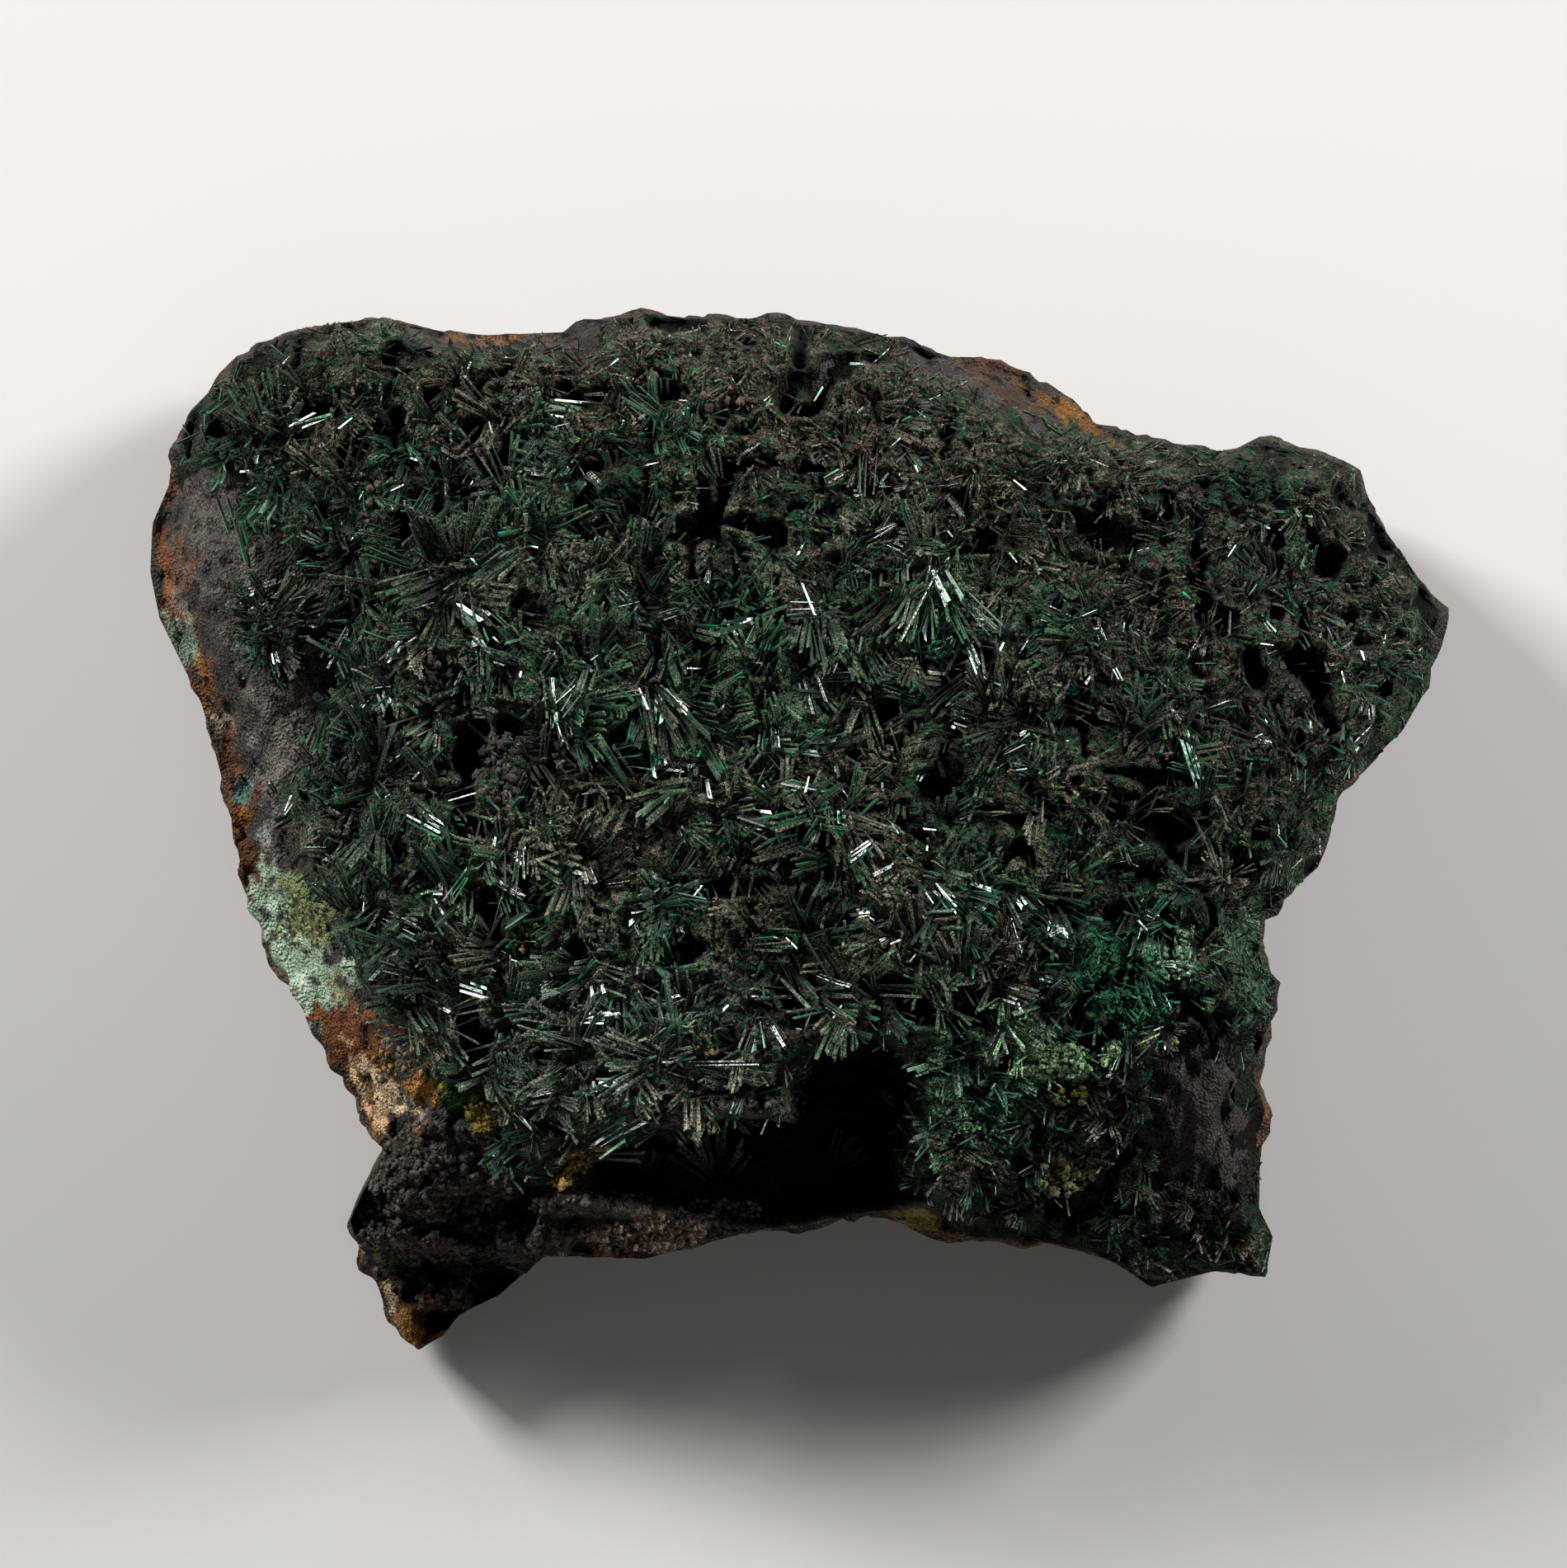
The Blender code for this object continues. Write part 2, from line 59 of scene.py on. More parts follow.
# Ovals of the hollow: x, y, half length, half width, and the shares of an oval that its wall stands between
HOLLOW_OVALS = ((-2.6, -20.4, 11.0, 3.4), (3.4, -16.4, 4.0, 4.6))
HOLLOW_WALL, HOLLOW_FLOOR = (0.74, 1.1), 8.0
LEDGE_HEIGHT, LEDGE_FRONT, LEDGE_LEFT, LEDGE_RIGHT = 11.0, (-22.2, -23.6), (-17.0, -13.0), (7.0, 12.0)
FOOT_TOP, FOOT_RIGHT = (-16.5, -19.0), (-10.5, -14.5)

# Outline of the face, counter-clockwise from its right end
OUTLINE = (
    (39.2, 13.6), (36.0, 18.1), (34.4, 20.5), (34.0, 22.1), (31.7, 23.1), (27.7, 23.9), (26.2, 23.2),
    (20.0, 24.1), (18.2, 24.8), (13.7, 28.0), (11.2, 29.0), (9.2, 29.0), (4.5, 30.4), (-2.0, 31.3),
    (-6.5, 31.3), (-9.7, 31.7), (-14.5, 30.5), (-20.5, 30.3), (-25.5, 31.4), (-28.5, 31.1), (-31.5, 30.4),
    (-34.2, 28.9), (-37.4, 25.7), (-38.1, 23.1), (-39.8, 19.0), (-39.9, 16.0), (-39.3, 13.2), (-36.7, 8.0),
    (-34.9, 1.5), (-33.8, -4.2), (-29.5, -12.0), (-25.4, -19.2), (-27.5, -23.7), (-27.1, -25.2),
    (-25.6, -29.3), (-24.7, -31.0), (-23.5, -31.9), (-22.0, -31.0), (-21.0, -29.7), (-18.5, -28.5),
    (-15.5, -25.7), (-9.5, -26.0), (-2.5, -24.2), (4.5, -23.2), (9.5, -24.5), (16.0, -25.1), (20.0, -26.5),
    (21.5, -27.8), (26.0, -26.7), (28.6, -27.2), (29.0, -24.7), (28.1, -23.0), (28.5, -17.0), (27.6, -14.7),
    (28.8, -10.5), (28.9, -9.0), (28.1, -8.0), (27.9, -5.2), (31.6, -2.0), (32.6, 2.5), (36.7, 6.2),
    (38.2, 8.7), (38.5, 11.0),
)
RIM_SAMPLES = 6000

# The face rounds off towards its outline, further on the left side, less on the lower edge and on the foot
EDGE_FALL, EDGE_REACH, LEFT_EDGE_FALL, LEFT_EDGE_REACH = 5.0, 1.8, 8.0, 3.6
LEFT_SIDE_X, LEFT_SIDE_Y = (-22.0, -28.0), (24.0, 21.0)
LOW_EDGE_Y, LOW_EDGE_SHARE, FOOT_EDGE_SHARE = (-20.0, -23.5), 0.75, 0.5

# Insets of the sides at shares of the face's height, their roughness, and lumps on them: depth, cell, seed
SIDE_HEIGHTS, SIDE_INSETS = (1.0, 0.62, 0.26, 0.0), (0.0, 0.1, 1.5, 3.6)
SIDE_ROUGHNESS, SIDE_CELL, SIDE_SEED = 0.7, 4.0, 9
SIDE_LUMPS = ((0.45, 2.6, 50), (0.30, 1.1, 51))
SIDE_SLIDE = 1.9

# The mesh's rings lie closer towards the outline, and its points closer on the left side
ROCK_STEPS = 600
FACE_RINGS, SIDE_ROWS, BACK_RINGS = 104, 30, 4
FACE_CROWDING, LEFT_SHARE, LEFT_DENSITY = 0.62, 0.56, 0.5

# Dark pits between the sprays: x, y, half length, half width
PITS = (
    (-27.0, 22.5, 1.2, 2.3), (-18.0, 22.0, 1.4, 1.2), (-24.5, 18.0, 1.2, 1.1), (-27.2, 13.5, 1.0, 2.6),
    (-19.7, 4.6, 1.2, 3.9), (31.5, 16.5, 1.0, 1.6), (27.2, 9.8, 0.8, 1.6), (23.0, 0.2, 1.5, 1.0),
    (-12.0, -4.8, 1.1, 1.0), (-18.6, -5.0, 0.9, 1.8), (7.5, -10.4, 1.2, 0.9),
)
PIT_FALL, PIT_SETBACK = 1.8, 2.0

# Layers of noise: strength, cell, seed
PATCH_EDGES = ((0.40, 1.4, 60), (0.50, 0.7, 61), (0.35, 0.4, 66))
PIT_EDGES = ((0.50, 1.7, 62), (0.35, 0.8, 63))
ROCK_GRAINS = ((0.55, 1.6, 40), (0.42, 0.85, 41), (0.26, 0.45, 44))
ROCK_HOLES = ((1.0, 1.3, 47), (0.45, 0.6, 48))
FOOT_KNOBS = ((1.3, 2.2, 42), (1.0, 1.0, 45))
FOOT_PITS = ((1.0, 1.5, 43), (0.4, 0.7, 46))
ROCK_MOTTLING = ((1.0, 0.9, 64), (0.5, 0.45, 65))
LUMP_LEVEL, HOLE_DEPTH, FOOT_PIT_DEPTH, HOLLOW_ROUGHNESS = 0.6, 0.6, 1.7, 0.4

# Places on the face: x, y, half length, half width, and for the strip its turn in degrees
SMOOTH_GREY = (-36.0, 19.5, 4.5, 5.0)
CHALK_STRIP = (-30.2, -8.2, 5.2, 2.9, 114)

# Colour patches, later ones over earlier ones: x, y, half length, half width, turn in degrees, colour
ROCK_PATCHES = (
    (-36.0, 19.0, 4.6, 3.6, 90, (0.108, 0.098, 0.084)),
    (-31.2, 8.5, 8.0, 2.8, 92, (0.162, 0.150, 0.126)),
    (-37.6, 9.5, 11.0, 1.6, 100, (0.160, 0.078, 0.042)),
    (-38.7, 21.0, 1.6, 0.6, 80, (0.170, 0.070, 0.030)),
    (-38.9, 15.8, 2.0, 0.4, 95, (0.230, 0.085, 0.028)),
    (-37.6, 14.0, 0.9, 0.7, 110, (0.260, 0.210, 0.160)),
    (-37.7, 11.6, 1.8, 0.8, 105, (0.260, 0.340, 0.240)),
    (-36.3, 8.8, 1.6, 0.6, 100, (0.280, 0.110, 0.035)),
    (-35.4, 6.2, 1.6, 0.8, 100, (0.320, 0.240, 0.170)),
    (-34.5, 4.2, 1.0, 0.5, 95, (0.300, 0.120, 0.035)),
    (-34.4, 0.5, 6.0, 1.2, 98, (0.130, 0.058, 0.028)),
    (-34.2, 2.6, 0.9, 0.5, 80, (0.110, 0.230, 0.190)),
    (-34.3, 0.6, 1.2, 0.5, 95, (0.320, 0.120, 0.030)),
    (-32.6, 0.0, 0.9, 0.5, 60, (0.230, 0.250, 0.220)),
    (-33.6, -2.4, 1.6, 0.5, 95, (0.160, 0.056, 0.022)),
    (*CHALK_STRIP, (0.480, 0.640, 0.450)),
    (-29.4, -5.0, 2.4, 1.7, 120, (0.250, 0.290, 0.120)),
    (-27.6, -10.2, 2.2, 0.8, 115, (0.330, 0.380, 0.190)),
    (-26.8, -14.0, 4.2, 2.9, 120, (0.230, 0.082, 0.022)),
    (-26.4, -15.6, 2.6, 0.7, 118, (0.760, 0.520, 0.290)),
    (-24.8, -15.9, 1.9, 1.0, 150, (0.850, 0.660, 0.400)),
    (-23.2, -15.2, 1.6, 0.9, 150, (0.480, 0.210, 0.045)),
    (-21.4, -15.1, 0.9, 0.6, 150, (0.260, 0.230, 0.030)),
    (-19.9, -16.2, 1.4, 1.1, 140, (0.018, 0.090, 0.010)),
    (-18.6, -17.6, 1.1, 0.7, 140, (0.380, 0.250, 0.030)),
    (-24.8, -26.0, 1.8, 1.2, 100, (0.110, 0.135, 0.095)),
    (-22.4, -27.6, 3.4, 1.8, 100, (0.060, 0.022, 0.008)),
    (-16.0, -24.6, 4.6, 2.4, 15, (0.034, 0.031, 0.025)),
    (-23.2, -29.8, 1.9, 2.6, 70, (0.085, 0.032, 0.007)),
    # Painted highlight: this thin cream strip along the foot's left edge stands for the edge catching the
    # left light
    (-25.3, -28.6, 3.6, 0.45, 104, (0.420, 0.310, 0.170)),
    (-24.4, -30.2, 1.5, 0.7, 105, (0.360, 0.150, 0.030)),
    # The two ledge patches below are the ledge's own brown made paler: partly its colour, partly painted
    # light on a ledge that lies in shade
    (-7.0, -24.6, 7.5, 2.4, 4, (0.240, 0.200, 0.155)),
    (-9.0, -24.6, 3.4, 1.4, 8, (0.600, 0.420, 0.310)),
    (-11.0, -26.1, 2.6, 0.7, 0, (0.200, 0.075, 0.025)),
    (13.0, -25.6, 5.0, 0.7, -10, (0.230, 0.130, 0.050)),
    (7.2, -23.8, 1.2, 0.6, 0, (0.330, 0.240, 0.060)),
    (12.6, 27.4, 4.0, 2.0, -35, (0.120, 0.062, 0.032)),
    (16.0, 25.6, 3.2, 0.9, -38, (0.210, 0.098, 0.024)),
    (5.0, 27.6, 8.0, 1.6, -8, (0.085, 0.080, 0.072)),
    (-18.6, 30.3, 2.6, 0.9, 0, (0.190, 0.080, 0.035)),
    (34.0, 4.6, 1.8, 1.2, 40, (0.220, 0.100, 0.050)),
    (24.0, -17.0, 3.6, 5.4, 0, (0.074, 0.064, 0.062)),
    (28.0, -17.5, 1.0, 2.2, 0, (0.200, 0.110, 0.045)),
)
ROCK_GREY, FOOT_BLACK = (0.062, 0.056, 0.047), (0.078, 0.062, 0.047)
SIDE_BROWN, SIDE_RUST = (0.105, 0.068, 0.044), (0.190, 0.085, 0.035)
SAWN_GREY = (0.150, 0.135, 0.118)


def smooth_step(low, high, value):
    """0 below low, 1 above high, and a smooth S between them."""
    share = np.clip((value - low) / (high - low), 0.0, 1.0)
    return share * share * (3.0 - 2.0 * share)


def lattice_noise(x, y, cell, seed):
    """Smooth noise from -1 to 1: hashed values at the corners of square cells, blended across each cell."""
    column, row = np.floor(x / cell), np.floor(y / cell)
    across, up = smooth_step(0.0, 1.0, x / cell - column), smooth_step(0.0, 1.0, y / cell - row)

    def corner(right, above):
        i, j = column.astype(np.int64) + right, row.astype(np.int64) + above
        mixed = (i * 374761393 + j * 668265263 + seed * 2246822519) & 0xFFFFFFFF
        mixed = ((mixed ^ (mixed >> 13)) * 1274126177) & 0xFFFFFFFF
        return (mixed ^ (mixed >> 16)) / 0x7FFFFFFF - 1.0

    below = corner(0, 0) * (1 - across) + corner(1, 0) * across
    over = corner(0, 1) * (1 - across) + corner(1, 1) * across
    return below * (1 - up) + over * up


def lumps(x, y, cell, seed):
    """Rounded lumps from 0 to 1 with sharp creases between them: |noise| to the power 0.7."""
    return np.abs(lattice_noise(x, y, cell, seed)) ** 0.7


def layered(x, y, layers, pattern=lattice_noise):
    """Sum of strength * pattern(x, y, cell, seed) over the layers."""
    return sum(strength * pattern(x, y, cell, seed) for strength, cell, seed in layers)


def mound(x, y, centre_x, centre_y, half_length, half_width):
    """A round-topped mound: exp(-(dx / half_length)^2 - (dy / half_width)^2)."""
    return np.exp(-(((x - centre_x) / half_length) ** 2) - ((y - centre_y) / half_width) ** 2)


def patch_share(x, y, centre_x, centre_y, half_length, half_width, turn):
    """1 inside an oval turned by an angle in degrees, 0 outside it, with a ragged border."""
    turned = np.radians(turn)
    along = (x - centre_x) * np.cos(turned) + (y - centre_y) * np.sin(turned)
    across = (y - centre_y) * np.cos(turned) - (x - centre_x) * np.sin(turned)
    outwards = np.hypot(along / half_length, across / half_width)
    return 1.0 - smooth_step(0.80, 1.05, outwards + layered(x, y, PATCH_EDGES))


def blended(first, second, share):
    """The colour first where the share is 0 and second where it is 1, at each point."""
    return np.array(first) * (1 - share[..., None]) + np.array(second) * share[..., None]


def with_patches(colour, x, y, patches):
    """A colour at each point with ragged ovals of colour laid over it."""
    for *place, tint in patches:
        colour = blended(colour, tint, patch_share(x, y, *place))
    return colour


def inside_by(x, y, border):
    """How far inside a closed border each point lies, in millimetres, and negative outside it."""
    nearest, crossings = np.full(np.shape(x), 1e9), np.zeros(np.shape(x), int)
    for (x0, y0), (x1, y1) in zip(border, border[1:] + border[:1]):
        along = ((x - x0) * (x1 - x0) + (y - y0) * (y1 - y0)) / ((x1 - x0) ** 2 + (y1 - y0) ** 2)
        along = np.clip(along, 0.0, 1.0)
        nearest = np.minimum(nearest, np.hypot(x - x0 - along * (x1 - x0), y - y0 - along * (y1 - y0)))
        if y0 != y1:
            crossings += ((y0 > y) != (y1 > y)) & (x < x0 + (y - y0) * (x1 - x0) / (y1 - y0))
    return np.where(crossings % 2 == 1, nearest, -nearest)


def outline_point(share):
    """Point of the outline at each share of its length."""
    corners = np.array(OUTLINE + OUTLINE[:1])
    along = np.concatenate([[0.0], np.cumsum(np.hypot(*np.diff(corners, axis=0).T))])
    wanted = np.mod(share, 1.0) * along[-1]
    return np.interp(wanted, along, corners[:, 0]), np.interp(wanted, along, corners[:, 1])


def from_middle(x, y):
    """Distance of each point from the slab's middle, seen from above."""
    return np.hypot(x - MIDDLE[0], y - MIDDLE[1])


def toward_rim(share, rim_x, rim_y):
    """Points a share of the way from the slab's middle to its rim: middle + share * (rim - middle)."""
    return MIDDLE[0] + share * (rim_x - MIDDLE[0]), MIDDLE[1] + share * (rim_y - MIDDLE[1])


def rim_point(x, y):
    """Point of the outline in the direction of each (x, y) from the slab's middle."""
    rim_x, rim_y = outline_point(np.linspace(0.0, 1.0, RIM_SAMPLES, endpoint=False))
    angles = np.arctan2(rim_y - MIDDLE[1], rim_x - MIDDLE[0])
    order = np.argsort(angles)
    here = np.arctan2(y - MIDDLE[1], x - MIDDLE[0])
    radius = np.interp(here, angles[order], from_middle(rim_x, rim_y)[order], period=2 * np.pi)
    return MIDDLE[0] + radius * np.cos(here), MIDDLE[1] + radius * np.sin(here)


def hollow_share(x, y):
    """1 in the hollow under the carpet's lip, 0 outside it."""
    ovals = [np.hypot((x - at_x) / length, (y - at_y) / width) for at_x, at_y, length, width in HOLLOW_OVALS]
    return 1.0 - smooth_step(*HOLLOW_WALL, np.minimum(*ovals))


def foot_share(x, y):
    """1 on the knobbly foot at the lower left, 0 elsewhere."""
    return smooth_step(*FOOT_TOP, y) * smooth_step(*FOOT_RIGHT, x)


def pit_share(x, y):
    """1 in the dark ragged pits between the sprays, 0 outside them."""
    deepest = np.max([mound(x, y, *pit) for pit in PITS], axis=0)
    return smooth_step(0.42, 0.95, deepest + layered(x, y, PIT_EDGES))


def foot_pits(x, y):
    """1 in the steep-sided pits of the foot, 0 between them."""
    return smooth_step(0.12, 0.36, layered(x, y, FOOT_PITS))


def slab_height(x, y):
    """Height of the rock's broad face over the sawn back, before its edges round off."""
    height = FACE_HEIGHT - FACE_FALL_X * (x / HALF_LENGTH) ** 2 - FACE_FALL_Y * (y / HALF_WIDTH) ** 2
    for wave, cell, seed in FACE_WAVES:
        height = height + wave * lattice_noise(x, y, cell, seed)
    for fall, y_top, y_foot, x_start, x_full in LOWER_SLOPES:
        height -= fall * smooth_step(y_top, y_foot, y) * smooth_step(x_start, x_full, x)
    for rise, *place in (BARE_TROUGH, UPPER_SHELF, BARE_KNOB):
        height += rise * mound(x, y, *place)
    ledge = smooth_step(*LEDGE_FRONT, y) * smooth_step(*LEDGE_LEFT, x) * (1 - smooth_step(*LEDGE_RIGHT, x))
    height = height * (1 - ledge) + LEDGE_HEIGHT * ledge
    hollow = hollow_share(x, y)
    return height * (1 - hollow) + HOLLOW_FLOOR * hollow


def face_height(x, y, rim_x, rim_y):
    """Height of the rock's face: slab - pits - fall * exp(-(inward / reach)^2), inward from the rim."""
    inward = np.maximum(0.0, from_middle(rim_x, rim_y) - from_middle(x, y))
    left_side = smooth_step(*LEFT_SIDE_X, rim_x) * smooth_step(*LEFT_SIDE_Y, rim_y)
    fall = EDGE_FALL + (LEFT_EDGE_FALL - EDGE_FALL) * left_side
    fall = fall * (1 - FOOT_EDGE_SHARE * foot_share(x, y))
    reach = EDGE_REACH + (LEFT_EDGE_REACH - EDGE_REACH) * left_side
    low_edge = 1 - LOW_EDGE_SHARE * smooth_step(*LOW_EDGE_Y, y)
    pits = PIT_FALL * pit_share(x, y) * smooth_step(0.0, PIT_SETBACK, inward)
    return slab_height(x, y) - pits - fall * low_edge * np.exp(-((inward / reach) ** 2))


def chalk_share(x, y):
    """1 on the smooth turquoise strip at the left edge, 0 elsewhere."""
    return patch_share(x, y, *CHALK_STRIP)


def fine_relief(x, y):
    """Small lumps and pits of the bare rock in millimetres, smooth on the grey patch, knobbly on the foot."""
    grains = layered(x, y, ROCK_GRAINS, lumps) - LUMP_LEVEL
    holes = HOLE_DEPTH * smooth_step(0.42, 0.62, layered(x, y, ROCK_HOLES))
    knobs = layered(x, y, FOOT_KNOBS, lumps) - FOOT_PIT_DEPTH * foot_pits(x, y) - LUMP_LEVEL
    knobs = (foot_share(x, y) + HOLLOW_ROUGHNESS * hollow_share(x, y)) * knobs
    return grains * (1 - 0.55 * mound(x, y, *SMOOTH_GREY)) - holes * (1 - chalk_share(x, y)) + knobs


def rock_colour(x, y):
    """Colour of the rock's face: grey with patches and mottled, with painted shade in the foot's pits and the
    hollow.
    """
    colour = with_patches(blended(ROCK_GREY, FOOT_BLACK, foot_share(x, y)), x, y, ROCK_PATCHES)
    mottled = 0.70 + 0.4 * smooth_step(-0.5, 0.5, layered(x, y, ROCK_MOTTLING))
    # Painted shade: the colour darkens in the foot's pits, and almost to black in the hollow under the
    # carpet's lip
    mottled = mottled * (1 - 0.85 * foot_share(x, y) * foot_pits(x, y))
    return colour * (mottled * (1 - 0.9 * smooth_step(0.25, 0.75, hollow_share(x, y))))[..., None]


def side_noise(x, y, height, cell, seed):
    """Noise over the sides from about -1 to 1: two flat noises, slid along x and along y with the height."""
    slid_x = lattice_noise(x + SIDE_SLIDE * height, y + 0 * height, cell, seed)
    return 0.8 * (slid_x + lattice_noise(x + 0 * height, y + SIDE_SLIDE * height, cell, seed + 40))


def mesh_piece(name, points, polygons, smooth, values=None, colours=None):
    """A mesh object from points in millimetres and arrays of polygons, with values and colours at points."""
    mesh = bpy.data.meshes.new(name)
    mesh.vertices.add(len(points))
    mesh.vertices.foreach_set("co", (np.asarray(points) * MM).ravel())
    corners = np.concatenate([array.ravel() for array in polygons])
    sizes = np.concatenate([np.full(len(array), array.shape[1]) for array in polygons])
    mesh.loops.add(len(corners))
    mesh.loops.foreach_set("vertex_index", corners)
    mesh.polygons.add(len(sizes))
    mesh.polygons.foreach_set("loop_start", np.concatenate([[0], np.cumsum(sizes)[:-1]]))
    mesh.polygons.foreach_set("loop_total", sizes)
    mesh.update(calc_edges=True)
    mesh.polygons.foreach_set("use_smooth", np.full(len(sizes), smooth))
    for label, numbers in (values or {}).items():
        mesh.attributes.new(label, "FLOAT", "POINT").data.foreach_set("value", np.ravel(numbers))
    for label, tints in (colours or {}).items():
        four = np.concatenate([tints, np.ones(np.shape(tints)[:-1] + (1,))], axis=-1)
        mesh.attributes.new(label, "FLOAT_COLOR", "POINT").data.foreach_set("color", four.ravel())
    piece = bpy.data.objects.new(name, mesh)
    bpy.context.scene.collection.objects.link(piece)
    return piece


def ring_quads(rings, steps):
    """Quads between successive rings of points, each ring closed round on itself."""
    start = np.arange(rings - 1)[:, None] * steps
    here, following = start + np.arange(steps), start + np.roll(np.arange(steps), -1)
    return np.stack([here, here + steps, following + steps, following], axis=-1).reshape(-1, 4)


def end_fans(rings, steps):
    """Triangles from the first and the last ring to two poles, which are the two points after the rings."""
    first, pole = np.arange(steps), rings * steps
    last = (rings - 1) * steps + first
    return np.concatenate([
        np.stack([first, np.roll(first, -1), np.full(steps, pole)], axis=-1),
        np.stack([np.roll(last, -1), last, np.full(steps, pole + 1)], axis=-1),
    ])


def feed(target, value):
    """Links a Field to a node's input, or gives the input a plain value."""
    if isinstance(value, Field):
        value.tree.links.new(value.socket, target)
    else:
        target.default_value = value


class Field:
    """A socket in a material's nodes, with arithmetic that makes Math nodes."""

    def __init__(self, tree, socket):
        self.tree, self.socket = tree, socket

    def node(self, kind, settings=None, **inputs):
        """Adds a node: its settings first, then its inputs by name, and gives its first output in use."""
        made = self.tree.nodes.new(kind)
        for setting, value in (settings or {}).items():
            setattr(made, setting, value)
        for label, value in inputs.items():
            named = (slot for slot in made.inputs if slot.enabled and slot.name.replace(" ", "_") == label)
            feed(next(named), value)
        return Field(self.tree, next(slot for slot in made.outputs if slot.enabled))

    def maths(self, operation, *values):
        """Adds a Math node whose inputs are all called Value, so they are fed in order."""
        made = self.tree.nodes.new("ShaderNodeMath")
        made.operation = operation
        for target, value in zip(made.inputs, values):
            feed(target, value)
        return Field(self.tree, made.outputs[0])

    def __add__(self, other):
        return self.maths("ADD", self, other)

    def __sub__(self, other):
        return self.maths("SUBTRACT", self, other)

    def __rsub__(self, other):
        return self.maths("SUBTRACT", other, self)

    def __mul__(self, other):
        return self.maths("MULTIPLY", self, other)

    __radd__, __rmul__ = __add__, __mul__

    def step(self, low, high):
        """0 below low, 1 above high, smooth between them."""
        settings = {"interpolation_type": "SMOOTHSTEP"}
        return self.node("ShaderNodeMapRange", settings, Value=self, From_Min=low, From_Max=high)

    def mixed(self, first, second):
        """The colour first where this is 0, second where it is 1."""
        settings = {"data_type": "RGBA", "clamp_factor": False}
        return self.node("ShaderNodeMix", settings, Factor=self, A=first, B=second)

    def scaled(self, colour):
        """The colour times this."""
        return self.node("ShaderNodeVectorMath", {"operation": "SCALE"}, Vector=colour, Scale=self)


def new_material(name):
    """An empty material with a shader, and the Object coordinates that its patterns read."""
    material = bpy.data.materials.new(name)
    material.use_nodes = True
    tree = material.node_tree
    coordinates = tree.nodes.new("ShaderNodeTexCoord")
    return material, tree.nodes["Principled BSDF"], Field(tree, coordinates.outputs["Object"])


def noise(place, size, detail=2.0):
    """Noise about 0 to 1 whose features are size millimetres across."""
    return place.node("ShaderNodeTexNoise", {}, Vector=place, Scale=1.0 / (size * MM), Detail=detail)


def cells(place, size):
    """Distance from the middle of rounded grains that are size millimetres across."""
    return place.node("ShaderNodeTexVoronoi", {}, Vector=place, Scale=1.0 / (size * MM))


def attribute(place, label):
    """A colour that the mesh carries at its points."""
    return place.node("ShaderNodeAttribute", {"attribute_name": label})


def number_attribute(place, label):
    """A number that the mesh carries at its points."""
    made = attribute(place, label)
    return Field(made.tree, made.socket.node.outputs["Fac"])


def bump(height, distance):
    """A normal tilted by the height, whose full range stands for a distance in millimetres."""
    return height.node("ShaderNodeBump", {}, Strength=1.0, Distance=distance * MM, Height=height)


def set_shader(shader, **inputs):
    """Feeds the shader's inputs by name: a Field is linked and a number is set."""
    for label, value in inputs.items():
        feed(shader.inputs[label.replace("_", " ")], value)


def show_as(piece, material, slot, *nodes):
    """Gives a piece its material, parents it to the root's frame, and hides the imported solids that it
    stands for.
    """
    piece.data.materials.append(material)
    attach(piece, "root")
    if nodes:
        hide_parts(*nodes)
    return piece


rock_turn = np.arange(ROCK_STEPS) / ROCK_STEPS
rock_turn = rock_turn - LEFT_DENSITY / (2 * np.pi) * np.sin(2 * np.pi * (rock_turn - LEFT_SHARE))
rim_x, rim_y = outline_point(rock_turn)
face_out = np.linspace(0.0, 1.0, FACE_RINGS + 1)[1:, None] ** FACE_CROWDING
face_x, face_y = toward_rim(face_out, rim_x, rim_y)
face_z = face_height(face_x, face_y, rim_x, rim_y)
face_z = face_z + fine_relief(face_x, face_y) * smooth_step(1.0, 0.985, face_out)

# Down the broken sides, the inset from the outline is blended between the heights where it is given
down = np.linspace(1.0, 0.0, SIDE_ROWS + 1)[1:, None]
side_z = down * face_z[-1]
levels = [
    inset + SIDE_ROUGHNESS * lattice_noise(rim_x, rim_y, SIDE_CELL, SIDE_SEED + level) * (level > 0)
    for level, inset in enumerate(SIDE_INSETS)
]
insets = np.zeros((SIDE_ROWS, ROCK_STEPS))
for level in range(len(levels) - 1):
    high, low = SIDE_HEIGHTS[level:level + 2]
    blend = (down - low) / (high - low)
    between = levels[level] * blend + levels[level + 1] * (1 - blend)
    insets = np.where((down >= low) & (down < high), between, insets)
side_lumps = sum(depth * side_noise(rim_x, rim_y, side_z, cell, seed) for depth, cell, seed in SIDE_LUMPS)
insets += side_lumps * smooth_step(0.0, 0.12, down)
side_x, side_y = toward_rim(1 - insets / from_middle(rim_x, rim_y), rim_x, rim_y)

back = np.linspace(1.0, 0.0, BACK_RINGS + 1)[1:-1, None]
back_x, back_y = back * side_x[-1], back * side_y[-1]
rock_points = np.stack([
    np.concatenate([face_x, side_x, back_x]), np.concatenate([face_y, side_y, back_y]),
    np.concatenate([face_z, side_z, 0 * back_x]),
], axis=-1)
rock_poles = [[*MIDDLE, float(face_z[0].mean())], [0.0, 0.0, 0.0]]

